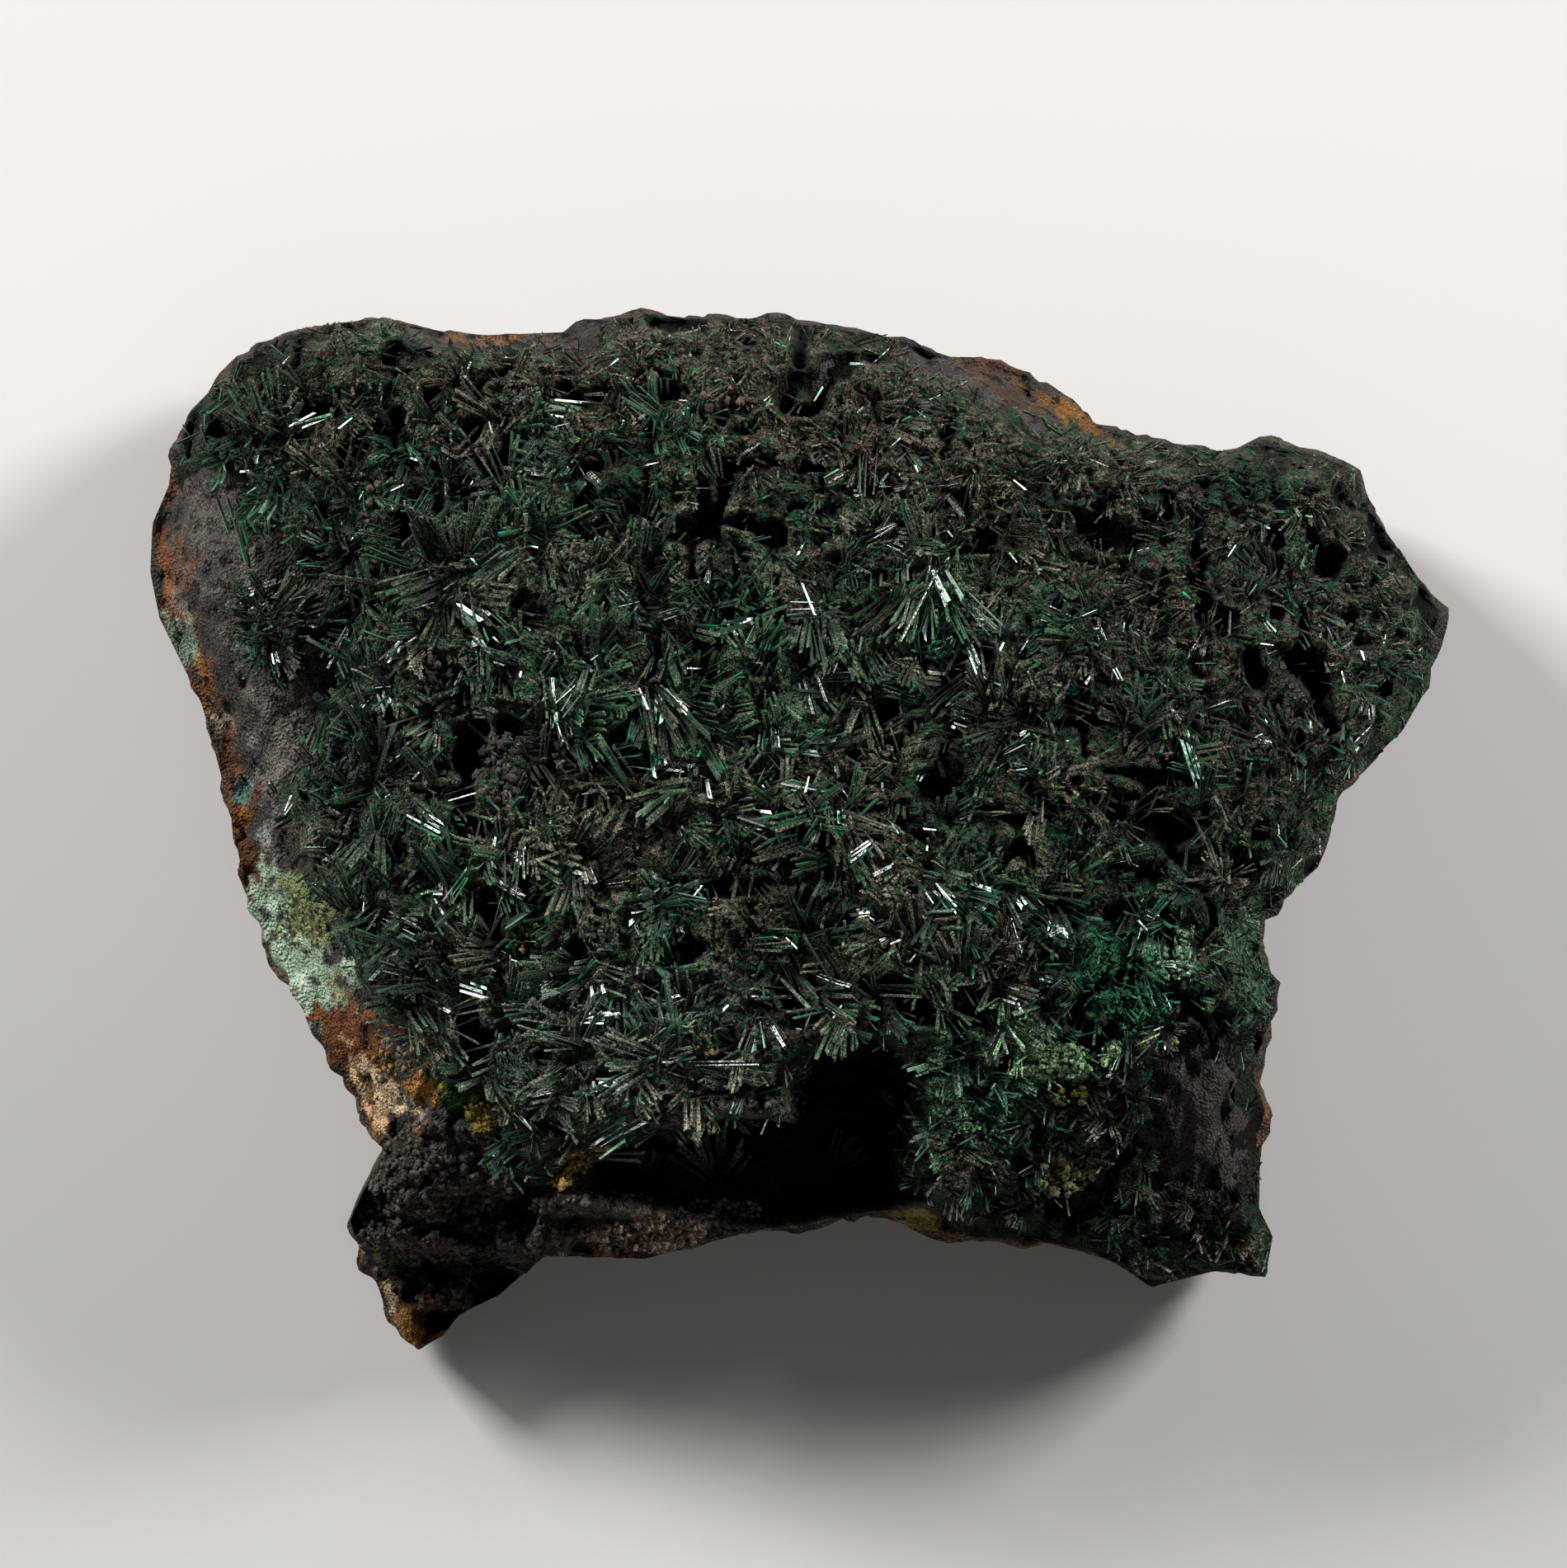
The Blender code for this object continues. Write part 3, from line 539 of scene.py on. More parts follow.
side_tint = np.array(SIDE_BROWN) * (1 + 0.35 * side_noise(rim_x, rim_y, side_z, 5.0, 52))[..., None]
side_rust = smooth_step(0.0, 0.6, side_noise(rim_x, rim_y, side_z, 3.0, 53))
side_tint = blended(side_tint, SIDE_RUST, 0.6 * side_rust)
side_tint = blended(side_tint, rock_colour(side_x, side_y), smooth_step(0.7, 1.0, down))
back_tint = np.broadcast_to(np.array(SAWN_GREY), back_x.shape + (3,))
rock_tint = np.concatenate([rock_colour(face_x, face_y), side_tint, back_tint]).reshape(-1, 3)
is_sawn = np.concatenate([np.zeros(face_x.shape), np.zeros(side_x.shape), np.ones(back_x.shape)])
is_chalky = np.concatenate([chalk_share(face_x, face_y), chalk_share(side_x, side_y), 0 * back_x])
rock = mesh_piece(
    "rock", np.concatenate([rock_points.reshape(-1, 3), rock_poles]),
    [ring_quads(len(rock_points), ROCK_STEPS), end_fans(len(rock_points), ROCK_STEPS)], True,
    values={"sawn": np.append(is_sawn.ravel(), [0, 1]), "chalky": np.append(is_chalky.ravel(), [0, 0])},
    colours={"tint": np.concatenate([rock_tint, [ROCK_GREY, SAWN_GREY]])},
)

rock_finish, shader, place = new_material("iron_stained_rock")
mottle, fine, shaded_holes = noise(place, 1.1, 4.0), noise(place, 0.12), noise(place, 0.7)
rounded = 1.0 - cells(place, 0.22).step(0.1, 0.8)
broken, chalky = 1.0 - number_attribute(place, "sawn"), number_attribute(place, "chalky")
shaded_holes = shaded_holes.step(0.60, 0.66) * broken
specks = fine.step(0.62, 0.70) * 1.1
tone = mottle.step(0.38, 0.62) * 0.45 + fine.step(0.36, 0.64) * 0.6 + rounded * 0.4 + specks + 0.12
# Painted shade: the tone is darkened in the holes, which the bump also sinks
tone = tone * (1.0 - shaded_holes * 0.8) * (1.0 - chalky * 0.8) + chalky * 0.85
grit = (mottle * 0.9 + rounded * 0.35 + fine * 0.3 - shaded_holes * 0.6) * (broken * 0.85 + 0.15)
set_shader(
    shader, Base_Color=tone.scaled(attribute(place, "tint")), Normal=bump(grit, 0.45), Roughness=0.85,
    Specular_IOR_Level=0.25,
)
show_as(rock, rock_finish, "matrix_rock", "matrix")

# The crust of matted sprays
#
# Sprays of atacamite blades grow side by side on the rock, big ones on the left and in the middle, fine ones
# along the top and on the right. Their lower parts are matted with grey-brown dust into a crust a millimetre
# or two thick, grooved outwards from each spray's middle, with black gaps where the sprays don't meet.

CARPET_BORDER = (
    (-40.0, 22.6), (-34.0, 21.8), (-31.5, 18.5), (-28.5, 16.0), (-27.5, 12.5), (-28.0, 8.0),
    (-29.3, 4.5), (-31.0, 1.5), (-30.6, -2.0), (-28.0, -4.5), (-26.6, -8.0), (-25.4, -11.0),
    (-23.6, -13.0), (-20.8, -14.0), (-18.0, -15.6), (-18.6, -20.5), (-16.0, -21.4), (-12.8, -18.6),
    (-7.0, -17.2), (-1.2, -16.8), (0.9, -13.2), (7.8, -12.2), (6.5, -15.0), (6.5, -21.5),
    (12.0, -24.2), (21.0, -26.8), (30.0, -27.5), (42.0, -8.0), (42.0, 24.0), (20.0, 25.0),
    (17.5, 23.6), (7.5, 27.8), (3.0, 33.0), (-11.0, 33.0), (-13.0, 29.2), (-23.0, 29.2),
    (-25.0, 33.0), (-40.0, 33.0),
)
# The lone spray's patch of crust: x, y, radius
LONE_CLUMP = (-30.6, 12.6, 2.6)
# Layers of noise: strength, cell, seed
BORDER_EDGES = ((0.9, 2.4, 70), (0.5, 1.0, 71))
GAP_POCKETS = ((0.75, 2.2, 93), (0.5, 1.1, 91))
DUST_CLOTS = ((1.0, 2.3, 85), (0.6, 1.1, 86))
CRUST_GRAINS = ((0.70, 2.1, 72), (0.40, 1.0, 73), (0.25, 0.55, 74))
CRUST_THICKNESS, CRUST_LUMPS, GAP_FALL, THINNEST = 0.9, 0.9, 1.9, 0.2
SWELL, GROOVE_DEPTH, GROOVES_A_MM = 2.1, 0.6, 2.0
# How far the crust's sheet dips under the rock where there is no carpet, and round the rim
SUNK_BARE, SUNK_RIM = 0.25, 0.6
CRUST_STEPS, CRUST_RINGS, CRUST_CROWDING = 640, 150, 0.75

# Where the sprays are big: share, x, y, half length, half width
COARSE_PLACES = ((1.15, -21.0, 6.0, 17.0, 24.0), (0.95, 1.0, -2.0, 17.0, 15.0), (0.7, 22.0, 3.0, 6.0, 6.0))
# The sprays that stand out: x, y, reach, first and last compass angle, fullness, lowest and highest rise,
# width of a blade, and how often a bundle is clean. Angles are in degrees.
MAIN_SPRAYS = (
    (-21.2, 14.7, 5.6, 0, 360, 105, 6, 48, 0.28, 0.16), (-25.2, 3.0, 5.8, -40, 190, 78, 10, 50, 0.30, 0.22),
    (-25.0, 0.8, 4.0, 190, 330, 33, 10, 45, 0.27, 0.10), (-31.6, 23.6, 4.4, 10, 160, 51, 12, 50, 0.23, 0.20),
    (-28.8, 25.4, 3.8, 0, 360, 51, 10, 60, 0.22, 0.20), (-27.4, 20.6, 4.0, 20, 150, 42, 10, 50, 0.23, 0.12),
    (-33.6, 27.0, 3.2, 0, 360, 45, 10, 60, 0.20, 0.15), (-23.4, 22.4, 4.2, 40, 260, 51, 10, 50, 0.25, 0.12),
    (-18.0, 24.8, 4.4, 10, 170, 51, 10, 50, 0.25, 0.12), (-14.6, 26.4, 3.6, 150, 390, 45, 8, 50, 0.22, 0.15),
    (-10.0, 15.2, 4.4, 0, 360, 66, 8, 55, 0.25, 0.10), (-15.6, 18.0, 4.4, 20, 330, 66, 8, 50, 0.26, 0.10),
    (-8.6, 8.8, 4.8, 200, 380, 69, 8, 50, 0.27, 0.22), (-6.4, 6.0, 4.4, 200, 350, 51, 8, 50, 0.27, 0.25),
    (-13.6, 5.4, 4.6, 10, 330, 69, 8, 50, 0.27, 0.10), (-4.6, 12.4, 4.0, 0, 360, 60, 8, 55, 0.23, 0.10),
    (-20.6, 8.2, 3.8, 180, 350, 39, 10, 50, 0.26, 0.08), (-16.4, -1.2, 4.4, -20, 120, 51, 8, 50, 0.27, 0.10),
    (-20.4, -4.2, 5.0, 35, 130, 45, 12, 50, 0.28, 0.20), (-26.0, -5.4, 4.8, -20, 150, 60, 6, 40, 0.27, 0.05),
    (-20.4, -8.8, 4.6, -40, 200, 66, 8, 50, 0.27, 0.10), (-12.0, -3.0, 4.0, 0, 360, 60, 8, 55, 0.25, 0.08),
    (-10.8, -8.4, 4.2, 0, 360, 63, 8, 50, 0.25, 0.10), (-6.4, -3.6, 4.6, 20, 250, 60, 8, 50, 0.25, 0.10),
    (-13.6, -14.2, 5.6, 5, 90, 60, 6, 40, 0.27, 0.12), (-7.4, -13.8, 5.2, -10, 200, 84, 6, 45, 0.25, 0.15),
    (-12.4, -12.4, 5.0, 150, 240, 42, 6, 30, 0.25, 0.08), (-13.6, -19.2, 4.6, 10, 120, 60, 8, 45, 0.27, 0.30),
    (-16.8, -18.2, 3.8, 60, 230, 39, 8, 50, 0.23, 0.15), (-1.6, -7.4, 4.6, 10, 330, 69, 6, 50, 0.25, 0.15),
    (1.8, 1.6, 4.6, 200, 380, 63, 6, 50, 0.25, 0.20), (0.6, 14.4, 4.6, 230, 330, 39, 6, 40, 0.25, 0.10),
    (8.0, 16.4, 6.4, 205, 335, 90, 6, 40, 0.23, 0.18), (8.0, 16.0, 4.4, 20, 160, 36, 8, 50, 0.20, 0.10),
    (4.6, 24.8, 4.6, 170, 370, 60, 8, 45, 0.19, 0.06), (-1.0, 26.0, 3.8, 0, 360, 54, 8, 50, 0.19, 0.06),
    (13.6, 16.2, 4.4, 190, 350, 54, 8, 45, 0.20, 0.08), (17.6, 11.8, 5.0, 130, 260, 60, 6, 45, 0.22, 0.06),
    (12.0, 6.4, 4.4, 0, 360, 66, 8, 50, 0.22, 0.08), (8.8, -3.4, 4.8, 180, 370, 69, 8, 50, 0.25, 0.25),
    (3.6, -3.2, 4.8, 10, 130, 51, 8, 45, 0.25, 0.15), (15.6, -4.0, 4.2, 0, 360, 60, 8, 50, 0.22, 0.08),
    (26.0, -2.0, 7.4, 70, 150, 90, 6, 36, 0.25, 0.18), (21.4, 8.4, 4.8, 110, 330, 60, 8, 45, 0.22, 0.08),
    (29.8, 4.6, 4.4, 30, 200, 51, 8, 45, 0.22, 0.08), (29.0, 14.4, 4.0, 0, 360, 57, 8, 50, 0.20, 0.08),
    (9.4, -9.2, 4.2, 10, 200, 51, 8, 50, 0.22, 0.15), (3.2, -9.4, 4.4, 0, 360, 63, 8, 50, 0.23, 0.12),
)
# The lone spray, in rows like those of MAIN_SPRAYS
LONE_SPRAYS = (
    (-32.6, 13.2, 2.6, 120, 300, 60, 4, 40, 0.20, 0.15), (-31.4, 13.2, 3.2, -30, 70, 70, 4, 30, 0.24, 0.08),
    (-32.0, 11.0, 2.2, 180, 340, 44, 6, 45, 0.15, 0.20), (-29.4, 12.6, 2.6, -60, 60, 60, 6, 35, 0.22, 0.05),
)

# Sprays scattered between these: the grid's spacing and jitter, and what a fine one has and a big one adds
COARSE_SPACING, FINE_SPACING, JITTER = 2.9, 2.1, 0.42
SCATTER_X, SCATTER_Y, HEX_ROW = (-42.0, 42.0), (-32.0, 34.0), 0.866
FINE_REACH, ADDED_REACH, FINE_WIDTH, ADDED_WIDTH = 1.7, 2.1, 0.11, 0.10
WHOLE_ROUND_SHARE = 0.45

COAT_GREEN, COAT_BROWN = (0.068, 0.092, 0.056), (0.122, 0.110, 0.078)
# Colour patches of the dust on crust and blades: x, y, half length, half width, turn in degrees, colour
COAT_PATCHES = (
    (-22.0, 14.0, 6.0, 5.4, 0, (0.080, 0.098, 0.064)),
    (-25.4, 2.0, 5.4, 5.0, 0, (0.070, 0.092, 0.058)),
    (-31.4, 12.4, 3.0, 3.0, 0, (0.070, 0.076, 0.056)),
    (23.0, -17.0, 6.5, 8.0, 0, (0.066, 0.058, 0.048)),
    (3.0, 26.5, 26.0, 5.0, -4, (0.130, 0.112, 0.078)),
    (26.0, 11.0, 10.0, 9.0, 0, (0.104, 0.094, 0.070)),
    (-11.5, -12.6, 9.0, 5.0, 10, (0.160, 0.188, 0.140)),
    (10.5, -14.2, 4.4, 4.6, 0, (0.150, 0.300, 0.170)),
    (12.4, -12.4, 2.6, 1.5, 0, (0.300, 0.480, 0.270)),
    (20.0, -16.4, 2.2, 4.4, 0, (0.016, 0.018, 0.013)),
    (19.0, -24.6, 9.0, 2.8, 0, (0.018, 0.022, 0.014)),
    (20.0, -8.6, 4.4, 3.2, 0, (0.034, 0.160, 0.076)),
    (22.4, -7.4, 1.6, 1.3, 0, (0.380, 0.600, 0.380)),
    (-0.6, 14.0, 2.2, 0.9, -25, (0.220, 0.190, 0.150)),
    (15.2, -13.6, 3.0, 1.4, -5, (0.480, 0.760, 0.380)),
    (12.4, -16.8, 2.2, 1.2, 30, (0.150, 0.280, 0.170)),
    (16.0, -20.6, 1.9, 1.2, 20, (0.380, 0.360, 0.190)),
    (26.5, -7.5, 2.0, 4.0, 0, (0.120, 0.210, 0.130)),
    (-29.2, -6.0, 2.0, 3.6, 24, (0.110, 0.180, 0.125)),
    (-33.4, 10.6, 1.3, 2.2, 0, (0.060, 0.150, 0.095)),
    (-27.6, 3.8, 2.6, 3.0, 0, (0.066, 0.100, 0.070)),
)

random = np.random.default_rng(17)


def gap_share(x, y):
    """1 in the dark gaps between the sprays, winding cracks and small pockets, and 0 outside them."""
    cracks = smooth_step(0.17, 0.05, np.abs(lattice_noise(x, y, 2.6, 90)))
    cracks = cracks * smooth_step(-0.1, 0.35, lattice_noise(x, y, 3.4, 92))
    return np.maximum(cracks, smooth_step(0.56, 0.76, layered(x, y, GAP_POCKETS)))


def carpet_depth(x, y):
    """How far inside the carpet each point lies, in millimetres. The bare knob isn't part of the carpet."""
    knob = np.hypot((x - BARE_KNOB[1]) / BARE_KNOB[3], (y - BARE_KNOB[2]) / BARE_KNOB[4]) - 1.0
    lone = LONE_CLUMP[2] - np.hypot(x - LONE_CLUMP[0], y - LONE_CLUMP[1])
    carpet = np.minimum(inside_by(x, y, CARPET_BORDER), (knob + 0.15) * BARE_KNOB[3])
    return np.maximum(carpet, lone) + layered(x, y, BORDER_EDGES)


def carpet_share(x, y):
    """1 on the carpet and 0 on the bare rock, smooth over its border."""
    return smooth_step(-0.4, 1.2, carpet_depth(x, y))


def coarse_share(x, y):
    """1 where the sprays are big, on the left and in the middle, and 0 where they are fine."""
    big = sum(share * mound(x, y, *place) for share, *place in COARSE_PLACES)
    return np.clip(big, 0, 1) * smooth_step(29.5, 23.0, y)


def crust_base(x, y):
    """Thickness of the crust over the rock before its relief, in millimetres."""
    thick = CRUST_THICKNESS + CRUST_LUMPS * (0.5 + 0.5 * lattice_noise(x, y, 3.4, 30))
    return np.maximum(thick - GAP_FALL * gap_share(x, y), THINNEST) * carpet_share(x, y)


def ground_height(x, y):
    """Height that the sprays grow from: the rock's face with the crust on it."""
    return face_height(x, y, *rim_point(x, y)) + crust_base(x, y)


def hex_scatter(spacing):
    """Points over the slab on a jittered hexagonal grid."""
    rows = np.arange(*SCATTER_Y, spacing * HEX_ROW)
    columns = np.arange(*SCATTER_X, spacing)
    x = np.tile(columns, (len(rows), 1)) + spacing / 2 * (np.arange(len(rows)) % 2)[:, None]
    y = np.tile(rows[:, None], (1, len(columns)))
    x = x + spacing * random.uniform(-JITTER, JITTER, x.shape)
    y = y + spacing * random.uniform(-JITTER, JITTER, y.shape)
    return x.ravel(), y.ravel()


def filler_sprays(spacing, keep, fullness):
    """Rows like those of MAIN_SPRAYS, scattered over the carpet and kept by the chance keep(x, y)."""
    x, y = hex_scatter(spacing)
    kept = (carpet_depth(x, y) > 0.2) & (inside_by(x, y, OUTLINE) > 0.5)
    kept &= random.uniform(size=x.shape) < keep(x, y)
    kept &= random.uniform(size=x.shape) > np.maximum(1.3 * pit_share(x, y), 0.97 * gap_share(x, y))
    x, y = x[kept], y[kept]
    coarse, number = coarse_share(x, y), len(x)
    reach = (FINE_REACH + ADDED_REACH * coarse) * random.uniform(0.75, 1.2, number)
    width = (FINE_WIDTH + ADDED_WIDTH * coarse) * random.uniform(0.85, 1.25, number)
    first = random.uniform(0, 360, number)
    whole_round = random.uniform(size=number) < WHOLE_ROUND_SHARE
    opening = np.where(whole_round, 360.0, random.uniform(70, 190, number))
    lowest, highest = random.uniform(4, 16, number), random.uniform(34, 56, number)
    clean = 0.03 + 0.30 * random.uniform(size=number) ** 3
    many = random.uniform(*fullness, number) * (0.45 + 0.55 * opening / 360)
    return np.stack([x, y, reach, first, first + opening, many, lowest, highest, width, clean], axis=-1)


coarse_sprays = np.concatenate([
    MAIN_SPRAYS, filler_sprays(COARSE_SPACING, lambda x, y: 0.25 + 0.75 * coarse_share(x, y), (38, 58)),
])
fine_sprays = filler_sprays(FINE_SPACING, lambda x, y: 1.0 - 0.72 * coarse_share(x, y), (30, 44))


def spray_relief(x, y):
    """Swell and grooves of the matted sprays, from 0 to 1, and how far out in its spray each point lies.

    A point belongs to the spray nearest to it in shares of that spray's reach. The swell rises from the
    spray's middle and falls to its rim. The grooves run outwards, as close as GROOVES_A_MM says at the rim.
    """
    sprays = np.concatenate([coarse_sprays, fine_sprays, LONE_SPRAYS])
    nearest, owner = np.full(np.shape(x), 9.0), np.zeros(np.shape(x), int)
    for number, (at_x, at_y, reach) in enumerate(sprays[:, :3]):
        distance = np.hypot(x - at_x, y - at_y) / reach
        owner = np.where(distance < nearest, number, owner)
        nearest = np.minimum(nearest, distance)
    at_x, at_y, reach = sprays[owner, 0], sprays[owner, 1], sprays[owner, 2]
    angle = np.arctan2(y - at_y, x - at_x)
    grooves = lumps(angle * reach * GROOVES_A_MM, nearest * reach * 0.7 + owner * 7.3, 1.0, 75)
    swell = nearest ** 0.7 * smooth_step(1.25, 0.7, nearest) * (0.55 + 0.45 * coarse_share(x, y))
    return swell, grooves * smooth_step(0.05, 0.3, nearest), nearest


def coat_colour(x, y):
    """Colour of the dust: greenish to brownish grey, clotted light and dark, with its patches over it."""
    brown = smooth_step(-0.5, 0.5, lattice_noise(x, y, 3.2, 83))
    clots = 0.42 + 1.30 * smooth_step(-0.5, 0.5, layered(x, y, DUST_CLOTS))
    return with_patches(blended(COAT_GREEN, COAT_BROWN, brown) * clots[..., None], x, y, COAT_PATCHES)


crust_rim = outline_point(np.arange(CRUST_STEPS) / CRUST_STEPS)
crust_out = np.linspace(0.0, 1.0, CRUST_RINGS + 1)[1:, None] ** CRUST_CROWDING
crust_x, crust_y = toward_rim(crust_out, *crust_rim)
covered = carpet_share(crust_x, crust_y)
swell, grooves, outward = spray_relief(crust_x, crust_y)
gaps = np.maximum(gap_share(crust_x, crust_y), pit_share(crust_x, crust_y))
relief = SWELL * swell * (1 - gaps) + GROOVE_DEPTH * (grooves - 0.5)
relief += sum(rise * (lumps(crust_x, crust_y, cell, seed) - 0.5) for rise, cell, seed in CRUST_GRAINS)
thickness = crust_base(crust_x, crust_y) + relief * covered - SUNK_BARE * (1 - covered)
thickness[-1] = -SUNK_RIM
crust_z = face_height(crust_x, crust_y, *crust_rim) + thickness
crust_quads = ring_quads(CRUST_RINGS, CRUST_STEPS)
crust_quads = crust_quads[(covered > 0.0).ravel()[crust_quads].any(axis=1)]
crease = smooth_step(0.0, 0.35, lumps(crust_x, crust_y, *CRUST_GRAINS[0][1:]))
crease = crease * smooth_step(0.0, 0.4, grooves)
# Painted shade: the crust's colour darkens in the gaps and pits, towards each spray's rim and in the creases
dark = (1 - 0.95 * gaps) * (1 - 0.55 * smooth_step(0.75, 1.1, outward)) * (0.45 + 0.65 * crease)
crust = mesh_piece(
    "crust", np.stack([crust_x, crust_y, crust_z], axis=-1).reshape(-1, 3), [crust_quads], True,
    values={"dark": dark.ravel()}, colours={"coat": coat_colour(crust_x, crust_y).reshape(-1, 3)},
)

DEEP_EMERALD, BRIGHT_EMERALD = (0.004, 0.034, 0.016, 1.0), (0.022, 0.130, 0.060, 1.0)
crust_finish, shader, place = new_material("matted_sprays")
fine, blotch = noise(place, 0.12), noise(place, 0.7)
rounded = 1.0 - cells(place, 0.24).step(0.1, 0.8)
shaded_crevices = noise(place, 0.42, 3.0).step(0.37, 0.52)
# Painted shade: the dust's colour darkens in the crevices, which also sink in the bump
dusty = (fine.step(0.38, 0.66) * 1.0 + rounded * 0.7 + 0.1) * (shaded_crevices * 0.8 + 0.2)
dusty = dusty.scaled(attribute(place, "coat"))
emerald = fine.mixed(DEEP_EMERALD, BRIGHT_EMERALD)
matted = (blotch.step(0.50, 0.62) * 0.7).mixed(dusty, emerald)
set_shader(
    shader, Base_Color=number_attribute(place, "dark").scaled(matted),
    Normal=bump(rounded + fine * 0.5 + shaded_crevices, 0.2), Roughness=0.9, Specular_IOR_Level=0.15,
)
show_as(crust, crust_finish, "carpet_crystals", "crystal_carpet")

# The blades of the sprays
#
# Flat-ended blades of atacamite stand out of the crust in bundles that radiate from each spray's middle. Most
# of them carry the matte dust, thinnest at their edges; the clean ones are glassy emerald and glint. A blade
# is a flat four-sided prism, a little wider at its tip, whose end is cut askew.

FLAT_SHARE, ROOT_WIDTH, SKEW = 0.45, 0.7, 1.2
BLADE_SIDES = np.array([[0, 1, 5, 4], [1, 2, 6, 5], [2, 3, 7, 6], [3, 0, 4, 7], [4, 5, 6, 7], [3, 2, 1, 0]])
BLADES_A_PIECE = 16000
# Blades in a bundle, and blades made for each unit of a spray's fullness
BUNDLE_BLADES, BLADES_A_UNIT = 4, 0.65
# Spreads in radians: a bundle's turn in its spray, a blade's turn and rise in its bundle
BUNDLE_TURN, BLADE_TURN, BLADE_RISE = 0.22, 0.07, 0.04
# In shares of a spray's reach: where bundles start, how long they are, how blades differ, and the shortest
BUNDLE_START, BLADE_START = (0.0, 0.5), (0.0, 0.1)
BUNDLE_LENGTH, BLADE_LENGTH, SHORTEST_SHARE = (0.45, 1.05), (-0.1, 0.15), 0.35
# Lifts over the ground in millimetres, more of it outwards, and the blades' spread sideways in their widths
SPRAY_LIFT, BUNDLE_LIFT, LIFT_OUTWARDS, BLADE_ASIDE = (-0.2, 0.5), (-0.3, 0.5), 1.1, 1.3
FACING_UP = np.array([0.0, 0.0, 0.8])
FELT_SPACING, FELT_TUFT, FELT_LENGTH, FELT_WIDTH = 1.0, 4, (0.7, 2.0), (0.10, 0.20)
SPARK_SPACING, SPARK_SHARE, SPARK_LENGTH, SPARK_WIDTH = 1.4, 0.42, (0.3, 1.1), (0.07, 0.17)
# How far inside the outline roots and tips stay, how far tips hang over the bare rock, and how high they get
ROOT_MARGIN, TIP_MARGIN, OVERHANG, HIGHEST_TIP, SHORTEST_BLADE = 0.2, 0.25, 0.9, 25.2, 0.4

# Directions to the two raking lights. A clean face turned half-way between one of them and straight up glints
LEFT_LIGHT, RIGHT_LIGHT = (-0.70, 0.62, 0.45), (0.76, 0.48, 0.45)

# Bundles of clean blades that glint: x, y, compass angle, length, width, number
GLINTS = (
    (-29.5, 24.9, 23, 2.6, 0.20, 3), (-13.6, 25.6, -10, 2.4, 0.24, 4), (0.8, 13.7, -60, 2.9, 0.26, 1),
    (23.2, 4.7, 108, 3.5, 0.24, 3), (24.7, 2.5, -55, 1.4, 0.20, 1), (-19.5, -9.1, -22, 2.2, 0.27, 3),
    (-11.5, -18.0, 34, 2.7, 0.29, 4), (-9.6, -17.0, 30, 1.9, 0.26, 2), (-8.4, 4.8, -78, 2.4, 0.26, 4),
    (-5.3, 2.8, -80, 1.3, 0.34, 1), (-26.9, 5.5, 112, 2.1, 0.19, 2), (-22.3, 4.9, 50, 2.4, 0.22, 3),
    (-22.2, 0.8, -30, 2.6, 0.24, 4), (3.5, -1.0, 35, 2.1, 0.17, 4), (9.0, -4.0, -55, 2.1, 0.19, 4),
    (-20.6, -3.2, 60, 2.4, 0.20, 3), (5.4, -16.0, -35, 1.8, 0.22, 2), (-9.4, 8.2, -68, 1.4, 0.20, 2),
    (-24.3, 11.0, 55, 1.9, 0.22, 2), (-19.0, 11.6, -52, 1.6, 0.20, 2), (-33.6, 14.2, 40, 1.4, 0.19, 2),
    (-24.6, 19.0, 70, 1.4, 0.19, 1), (-1.8, 25.8, -10, 1.0, 0.17, 1), (13.0, 21.0, -40, 1.0, 0.15, 1),
    (18.8, 9.6, 115, 1.1, 0.14, 2), (10.4, 10.4, -65, 1.3, 0.17, 3), (7.0, 3.4, 60, 1.1, 0.17, 2),
    (-0.6, -6.4, -40, 1.6, 0.22, 2), (-12.4, -10.9, 8, 2.1, 0.17, 4), (14.8, -5.6, 70, 1.1, 0.17, 2),
    (28.2, 12.4, -50, 1.0, 0.15, 2), (25.8, 17.0, 60, 0.8, 0.14, 1), (-4.6, -18.0, -12, 1.1, 0.20, 1),
    (-33.0, 20.8, 20, 1.0, 0.17, 1), (-18.4, 24.2, -70, 1.0, 0.15, 1), (-31.0, 1.6, 60, 1.1, 0.14, 2),
)
# Dusty blades that lie on the bare rock, the same way
ROCK_BLADES = (
    (-33.8, 19.3, -66, 4.2, 0.34, 4), (-32.4, 14.6, 28, 3.0, 0.42, 3), (-33.2, 24.0, -30, 2.2, 0.30, 2),
)
GLINT_LIFT, ROCK_BLADE_LIFT = 1.7, 0.5


def unit(vectors):
    """The vectors, scaled to a length of 1."""
    return vectors / np.linalg.norm(vectors, axis=-1, keepdims=True)


GLINT_WAYS = np.round(unit(unit(np.array([LEFT_LIGHT, RIGHT_LIGHT])) + (0.0, 0.0, 1.0)), 3)


def directions(compass, rise):
    """Unit vectors (cos r cos c, cos r sin c, sin r) for rises r and compass angles c in radians."""
    return np.stack([np.cos(rise) * np.cos(compass), np.cos(rise) * np.sin(compass), np.sin(rise)], axis=-1)


def glint_rise(compass, way):
    """Rise that lays a blade square to a glint's direction: tan r = -(w_x cos c + w_y sin c) / w_z."""
    return np.arctan(-(way[:, 0] * np.cos(compass) + way[:, 1] * np.sin(compass)) / way[:, 2])


